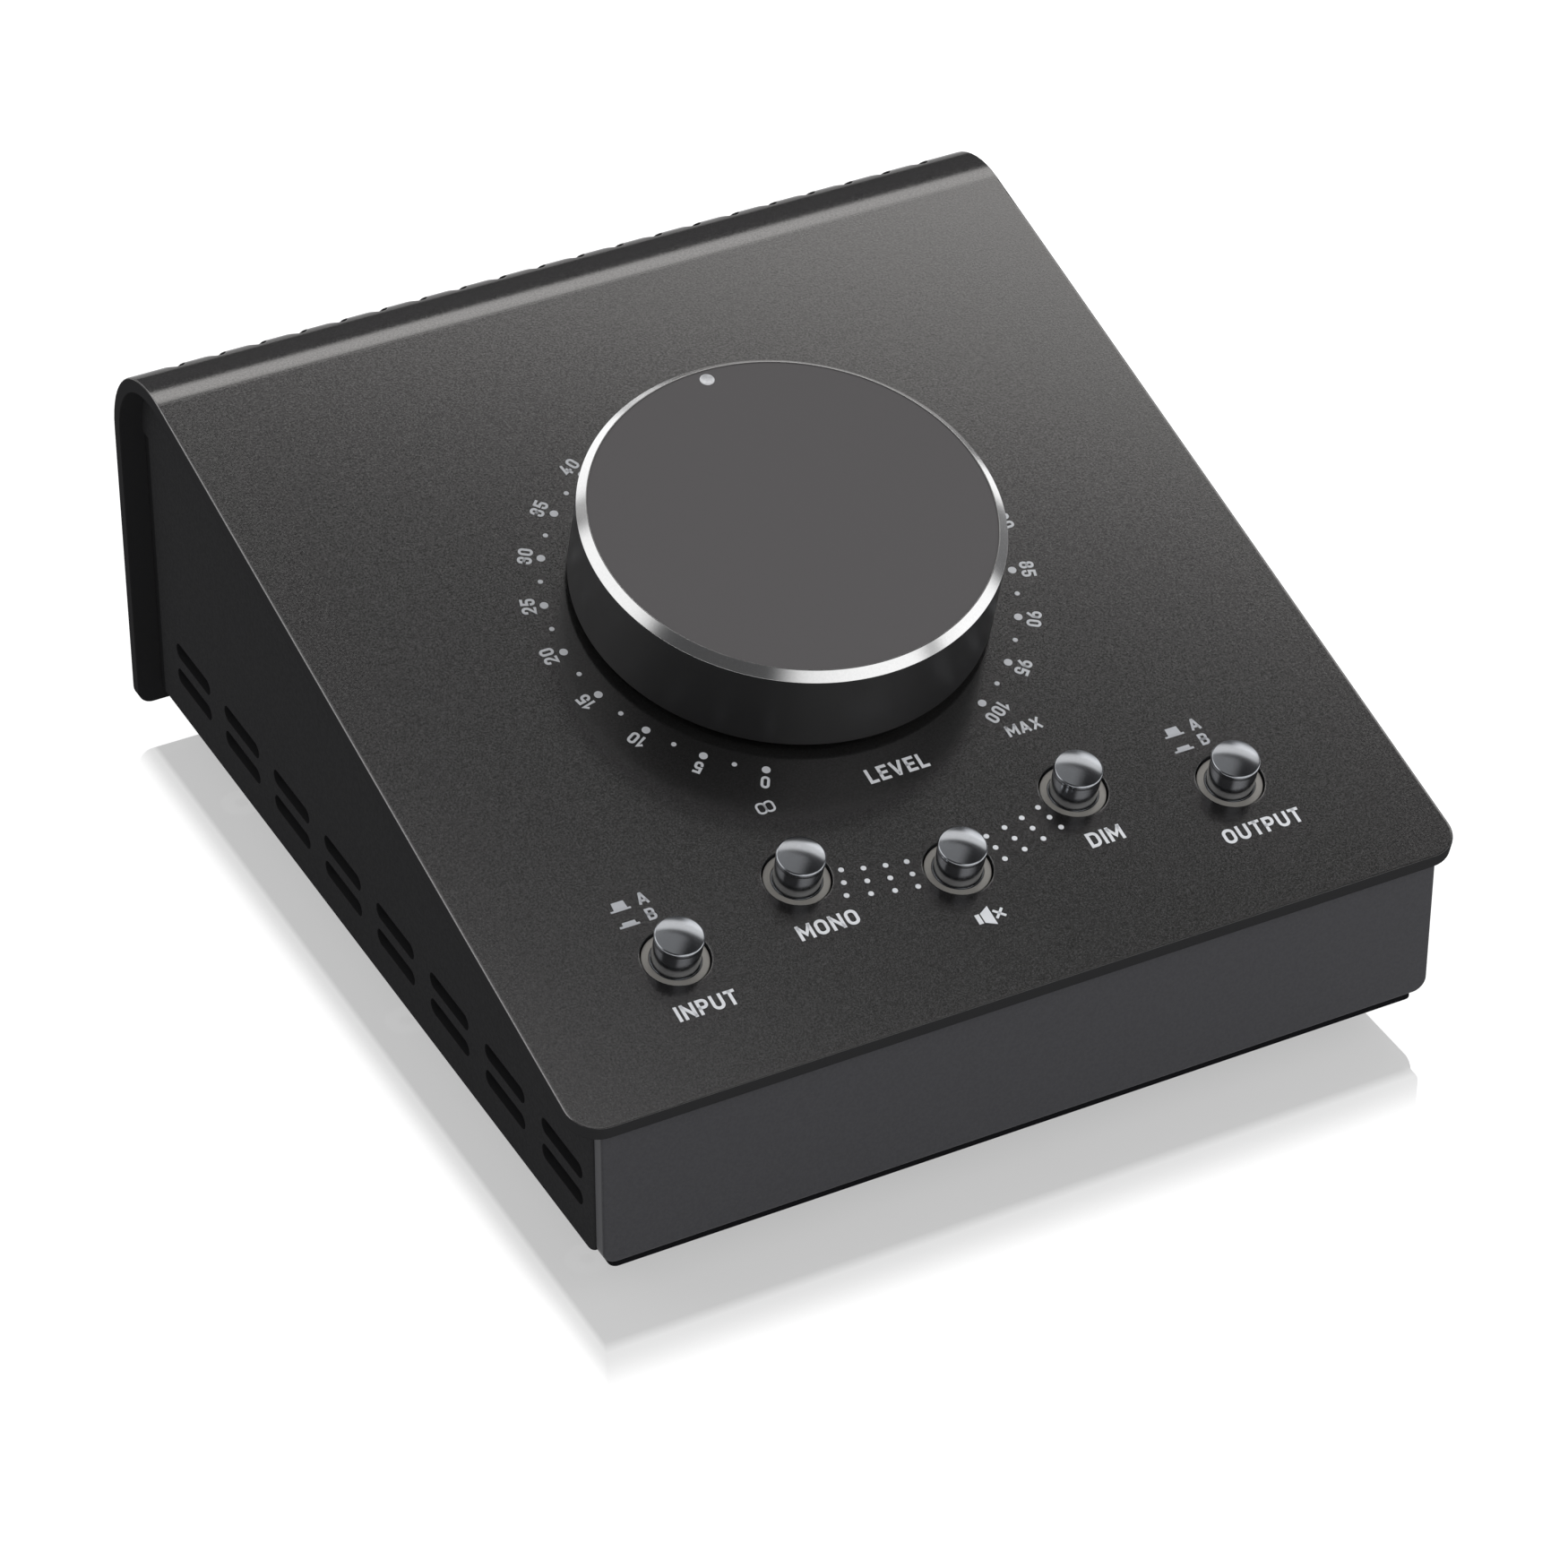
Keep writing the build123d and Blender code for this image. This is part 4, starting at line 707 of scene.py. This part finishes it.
# ------------------------------------------------------------------ push buttons
# Five brass caps, turned and plated in dark chrome: a satin collar down in the panel's hole, a neck,
# and a domed head with a rolled edge. Each is pressed onto its switch's plunger.
button_names = ["source", "mono", "mute", "dim", "monitor"]
button_pitch = 20.2
button_row = 21.2
raised_offset = 6.0
bore_radius = 1.52
bore_top = 1.5
collar_radius = 4.4
collar_top = -0.4
collar_bottom = -1.8
groove_radius = 3.4
groove_bottom = -0.55
neck_radius = 3.18
head_radius = 3.27
head_bottom = 3.7
head_side = 0.4
head_round = 0.25
dome_height = 0.45
lip_drop = 0.12
lip_inset = 0.05
dome_steps = 12
roll_steps = 9
cap_segments = 96
collar_slot, chrome_slot = 0, 1

satin_collar = turned_metal("satin_collar", "a8a5a0", roughness=0.42, rings=14.0, depth=0.0000012,
                            metallic=0.3)
# In the hood's mirror the chrome shows at 0.12 of its colour, a painted dark reflection that stands in for a
# soft shadow under each cap.
dark_chrome = turned_metal("dark_chrome", "bcbfc4", roughness=0.17, rings=10.0, depth=0.0000003,
                           spread=0.02, share_in_painted_reflection=0.12)

shoulder = head_bottom + head_side
crown_radius = head_radius - head_round
cap_corners = np.array([  # radius, height and rounding of each corner, up the bore and down again to the head
    (0, bore_top, 0),
    (bore_radius, bore_top, 0.02),
    (bore_radius, collar_bottom, 0.05),
    (collar_radius, collar_bottom, 0.1),
    (collar_radius, collar_top, 0.12),
    (groove_radius, collar_top, 0.1),
    (groove_radius, groove_bottom, 0.04),
    (neck_radius, groove_bottom, 0.04),
    (neck_radius, head_bottom - lip_drop, 0.05),
    (head_radius - lip_inset, head_bottom - lip_drop, 0.1),
    (head_radius, shoulder, 0),
])
profile, outward = rounded(cap_corners[:, :2], cap_corners[:, 2], step=0.25)
# The dome is a part of a sphere, and a quarter of an ellipse rolls over from the side to the dome's slope.
dome_sphere = (crown_radius ** 2 + dome_height ** 2) / (2 * dome_height)
dome_angle = np.linspace(np.arcsin(crown_radius / dome_sphere), 0, dome_steps)
dome_heights = shoulder + head_round + dome_height - dome_sphere * (1 - np.cos(dome_angle))
dome = np.stack([dome_sphere * np.sin(dome_angle), dome_heights], 1)
dome_normals = np.stack([np.sin(dome_angle), np.cos(dome_angle)], 1)
shoulder_turn = np.linspace(0, np.pi / 2 - dome_angle[0], roll_steps)
roll = np.stack([np.cos(shoulder_turn), np.sin(shoulder_turn)], 1)
roll_height = (dome[0, 1] - shoulder) / roll[-1, 1]
roll_width = (head_radius - dome[0, 0]) / (1 - roll[-1, 0])
rolled_edge = np.stack(
    [head_radius - roll_width * (1 - roll[:, 0]), shoulder + roll_height * roll[:, 1]], 1
)
profile = np.concatenate([profile[:-1], rolled_edge, dome[1:]])
outward = np.concatenate([outward[:-1], roll, dome_normals[1:]])
run_radius, run_height = (profile[:-1] + profile[1:]).T / 2
on_collar = (run_height < collar_top + 0.01) & (run_radius > groove_radius - 0.02)
cap_kinds = np.repeat(np.where(on_collar, collar_slot, chrome_slot), cap_segments)
for index, button in enumerate(button_names):
    place = ((index - 2) * button_pitch, button_row + index % 2 * raised_offset)
    points, normals, faces, corners = turned_mesh(profile, outward, place, cap_segments)
    cap = add_piece(f"{button}_cap_turned", points, faces, [satin_collar, dark_chrome], cap_kinds, normals,
                    np.concatenate(corners))
    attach(cap, f"{button}_button")
    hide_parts(f"{button}_button_cap")

# ------------------------------------------------------------------ print on the panel
# Light grey ink, screen printed on the coat in three tones: the words, the dial with its numbers, and the
# marks that show a raised and a pressed switch. Rows of dots join the middle buttons.
ink_height = 0.03
ink_depth = 0.01
half_stroke = 0.093  # of the letters' height
letter_gap = 0.16
dot_segments = 24
ink_colours = {"screen_ink": "e8eaee", "dial_ink": "d2d4d8", "mark_ink": "babcc1"}
inks = {
    name: coated(name, colour, colour, roughness=0.5, grain_size=0.00025, grain_depth=0.000003,
                 edge_radius=0.00001, specular=0.3, speckle=0.02)
    for name, colour in ink_colours.items()
}

box = [(0, 0), (1, 0), (1, 1), (0, 1)]
# Each glyph: its width, then strokes as (closed, corner radius or radii, corners); corners run from 0 to 1
# between the middles of the outermost strokes, and lengths are shares of the letters' height.
glyphs = {
    "0": (0.60, [(True, 0.2, box)]),
    "1": (0.38, [(False, 0, [(0, 0.76), (1, 1), (1, 0)])]),
    "2": (0.58, [(False, [0, 0.18, 0.18, 0.15, 0, 0],
                  [(0, 0.74), (0, 1), (1, 1), (1, 0.56), (0, 0), (1, 0)])]),
    "3": (0.58, [(False, [0, 0.18, 0.18, 0.16, 0], [(0, 0.76), (0, 1), (1, 1), (1, 0.54), (0.35, 0.54)]),
                 (False, [0, 0.16, 0.18, 0.18, 0], [(0.35, 0.54), (1, 0.54), (1, 0), (0, 0), (0, 0.24)])]),
    "4": (0.62, [(False, 0, [(0.6, 1), (0, 0.26), (1, 0.26)]), (False, 0, [(0.72, 0.5), (0.72, 0)])]),
    "5": (0.58, [(False, [0, 0, 0, 0.18, 0.18, 0.18, 0],
                  [(0.94, 1), (0.04, 1), (0, 0.56), (1, 0.6), (1, 0), (0, 0), (0, 0.22)])]),
    "6": (0.60, [(True, 0.2, [(0, 0), (1, 0), (1, 0.58), (0, 0.58)]),
                 (False, [0, 0.2, 0], [(0, 0.3), (0, 0.6), (0.6, 1)])]),
    "7": (0.56, [(False, 0, [(0, 1), (1, 1), (0.36, 0)])]),
    "8": (0.60, [(True, 0.19, [(0, 0), (1, 0), (1, 0.53), (0, 0.53)]),
                 (True, 0.17, [(0.05, 0.53), (0.95, 0.53), (0.95, 1), (0.05, 1)])]),
    "9": (0.60, [(True, 0.2, [(0, 0.42), (1, 0.42), (1, 1), (0, 1)]),
                 (False, [0, 0.2, 0], [(1, 0.7), (1, 0.4), (0.4, 0)])]),
    "A": (0.74, [(False, 0, [(0, 0), (0.45, 1), (0.55, 1), (1, 0)]), (False, 0, [(0.2, 0.24), (0.8, 0.24)])]),
    "B": (0.66, [(True, [0, 0.2, 0.2, 0], [(0, 0), (1, 0), (1, 0.52), (0, 0.52)]),
                 (True, [0, 0.17, 0.17, 0], [(0, 0.52), (0.94, 0.52), (0.94, 1), (0, 1)])]),
    "D": (0.70, [(True, [0, 0.26, 0.26, 0], box)]),
    "E": (0.58, [(False, 0, [(1, 1), (0, 1), (0, 0), (1, 0)]), (False, 0, [(0, 0.51), (0.86, 0.51)])]),
    "I": (0.18, [(False, 0, [(0.5, 0), (0.5, 1)])]),
    "L": (0.54, [(False, 0, [(0, 1), (0, 0), (1, 0)])]),
    "M": (0.86, [(False, 0, [(0, 0), (0, 1)]), (False, 0, [(1, 0), (1, 1)]),
                 (False, 0, [(0.05, 0.93), (0.5, 0.3), (0.95, 0.93)])]),
    "N": (0.74, [(False, 0, [(0, 0), (0, 1)]), (False, 0, [(1, 0), (1, 1)]),
                 (False, 0, [(0.05, 0.94), (0.95, 0.06)])]),
    "O": (0.72, [(True, 0.25, box)]),
    "P": (0.64, [(False, [0, 0, 0.2, 0.2, 0], [(0, 0), (0, 1), (1, 1), (1, 0.44), (0, 0.44)])]),
    "T": (0.62, [(False, 0, [(0, 1), (1, 1)]), (False, 0, [(0.5, 1), (0.5, 0)])]),
    "U": (0.70, [(False, [0, 0.25, 0.25, 0], [(0, 1), (0, 0), (1, 0), (1, 1)])]),
    "V": (0.72, [(False, 0, [(0.02, 1), (0.45, 0), (0.55, 0), (0.98, 1)])]),
    "X": (0.72, [(False, 0, [(0.03, 0), (0.97, 1)]), (False, 0, [(0.03, 1), (0.97, 0)])]),
}


def stroke(corners, radii, closed, half):
    """Flat points and faces of a thin solid along a path, reaching half its width to both sides."""
    corners = np.array(corners, float)
    if not closed:
        first, last = corners[0] - corners[1], corners[-1] - corners[-2]
        corners[0] += first / np.linalg.norm(first) * half
        corners[-1] += last / np.linalg.norm(last) * half
    path, sideways = rounded(corners, radii, closed, step=0.3)
    count = len(path)
    flat = np.concatenate([path - sideways * half, path + sideways * half])
    flat = np.concatenate([flat, flat])
    here = np.arange(count if closed else count - 1)
    after = (here + 1) % count
    left, right, left_low, right_low = 0, count, 2 * count, 3 * count
    faces = np.concatenate([
        np.stack([left + here, right + here, right + after, left + after], 1),
        np.stack([left_low + after, right_low + after, right_low + here, left_low + here], 1),
        np.stack([left + here, left + after, left_low + after, left_low + here], 1),
        np.stack([right + after, right + here, right_low + here, right_low + after], 1),
    ]).tolist()
    if not closed:
        end = count - 1
        faces.append([left, left_low, right_low, right])
        faces.append([right + end, right_low + end, left_low + end, left + end])
    return flat, faces


def patch(outline):
    """Flat points and faces of a thin solid inside an outline that runs anticlockwise."""
    count = len(outline)
    here = np.arange(count)
    after = (here + 1) % count
    faces = [here.tolist(), (here[::-1] + count).tolist()]
    faces += np.stack([here, here + count, after + count, after], 1).tolist()
    return np.concatenate([outline, outline]), faces


def dot(u, v, diameter):
    """A round patch: the radius times the cosine and sine of the angle."""
    turn = np.linspace(0, 2 * np.pi, dot_segments, endpoint=False)
    return patch(np.stack([u + diameter / 2 * np.cos(turn), v + diameter / 2 * np.sin(turn)], 1))


def lettering(words, centre, height, up=90.0):
    """The strokes of a word centred on a place of the panel, its letters' tops towards the angle up."""
    widths = [glyphs[letter][0] for letter in words]
    start = -(sum(widths) + letter_gap * (len(words) - 1)) / 2
    angle = np.radians(up)
    top = np.array([np.cos(angle), np.sin(angle)])
    right = np.array([np.sin(angle), -np.cos(angle)])
    inset = 2 * half_stroke
    made = []
    for letter, width in zip(words, widths):
        for closed, radii, corners in glyphs[letter][1]:
            corners = np.array(corners, float)
            if width > inset + 0.05:
                corners[:, 0] = start + half_stroke + corners[:, 0] * (width - inset)
            else:
                corners[:, 0] = start + width / 2
            corners[:, 1] = -0.5 + half_stroke + corners[:, 1] * (1 - inset)
            flat, faces = stroke(corners, radii, closed, half_stroke)
            flat = np.asarray(centre) + height * (flat[:, :1] * right + flat[:, 1:] * top)
            made.append((flat, faces))
        start += width + letter_gap
    return made


def printed(name, shapes, ink):
    """One piece of ink from flat shapes, each a little above the panel and reaching into its coat."""
    points, faces, start = [], [], 0
    for flat, shape_faces in shapes:
        half = len(flat) // 2
        heights = np.repeat([ink_height, -ink_depth], half)
        points.append(on_panel(flat[:, 0], flat[:, 1], heights))
        faces += [[start + k for k in face] for face in shape_faces]
        start += len(flat)
    piece = add_piece(name, np.concatenate(points), faces, [ink])
    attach(piece, "enclosure")


def bar(left, bottom, right, top, taper=0.0):
    """An upright patch whose top is narrower than its bottom by the taper on each side."""
    return patch(np.array([(left, bottom), (right, bottom), (right - taper, top), (left + taper, top)]))


dial_radius = 31.78
number_radius = 33.9
number_height = 2.0
last_number_shift = 0.3
big_dot = 1.15
small_dot = 0.7
dial_start = -120.0
dial_step = -15.0
number_step = 5
marks_count = 21
infinity_place = (-18.82, 38.97)
infinity_half = (1.14, 0.8)
infinity_round = 0.5
infinity_stroke = 0.15
max_place = (19.1, 38.98)
max_height = 1.89

shapes = []
for k in range(marks_count):
    angle = dial_start + dial_step * k
    direction = np.array([np.cos(np.radians(angle)), np.sin(np.radians(angle))])
    shapes.append(dot(*(knob_place + dial_radius * direction), big_dot))
    if k < marks_count - 1:
        between = np.radians(angle + dial_step / 2)
        between_place = knob_place + dial_radius * np.array([np.cos(between), np.sin(between)])
        shapes.append(dot(*between_place, small_dot))
    reach = number_radius + (last_number_shift if k == marks_count - 1 else 0)
    shapes += lettering(str(number_step * k), knob_place + reach * direction, number_height, angle)
for side in (-1, 1):
    reach, rise = side * infinity_half[0], infinity_half[1]
    loop = np.array([(0, -rise), (reach, -rise), (reach, rise), (0, rise)][::side])
    shapes.append(stroke(loop + infinity_place, infinity_round, True, infinity_stroke))
shapes += lettering("MAX", max_place, max_height)
printed("dial_print", shapes, inks["dial_ink"])

words = {  # place of the middle along and up the panel, and height
    "LEVEL": (0.22, 38.72, 2.43),
    "INPUT": (-40.2, 12.84, 2.4),
    "MONO": (-20.02, 18.79, 2.43),
    "DIM": (20.33, 18.79, 2.43),
    "OUTPUT": (40.5, 12.84, 2.4),
}
row_radii = (48.1, 50.2, 52.3)
row_angles = (-107.4, -103.9, -100.4, -96.97, -83.1, -79.6, -76.1, -72.6)
row_dot = 0.75
speaker_back = (-1.86, 11.75, -1.22, 13.31)
horn = [(-1.02, 11.77), (0.40, 11.0), (0.40, 14.12), (-1.02, 13.31)]
cross_middle = (1.40, 12.53)
cross_half = 0.53
cross_stroke = 0.18

shapes = []
for word, (u, v, height) in words.items():
    shapes += lettering(word, (u, v), height)
for radius in row_radii:
    for angle in np.radians(row_angles):
        shapes.append(dot(*(knob_place + radius * np.array([np.cos(angle), np.sin(angle)])), row_dot))
shapes.append(bar(*speaker_back))
shapes.append(patch(np.array(horn)))
for tilt in (-1, 1):
    start = (cross_middle[0] - cross_half, cross_middle[1] - cross_half * tilt)
    end = (cross_middle[0] + cross_half, cross_middle[1] + cross_half * tilt)
    shapes.append(stroke([start, end], 0, False, cross_stroke))
printed("button_print", shapes, inks["screen_ink"])

# The outermost buttons have a mark for each of their two heights: a plate with a cap on it.
switch_plates = [(-45.0, 30.36, -42.2, 30.64), (-45.0, 27.68, -42.2, 28.0)]
switch_caps = [(-44.5, 30.6, -42.6, 31.86, 0.1), (-44.5, 27.96, -42.6, 28.5, 0.05)]
switch_letters = {"A": (-40.27, 31.3, 1.89), "B": (-40.27, 28.6, 1.93)}

shapes = []
for shift in (0, 4 * button_pitch):
    for plate, top in zip(switch_plates, switch_caps):
        shapes.append(bar(*plate))
        shapes.append(bar(*top[:4], taper=top[4]))
        for flat, _ in shapes[-2:]:
            flat[:, 0] += shift
    for letter, (u, v, height) in switch_letters.items():
        shapes += lettering(letter, (u + shift, v), height)
printed("switch_mark_print", shapes, inks["mark_ink"])
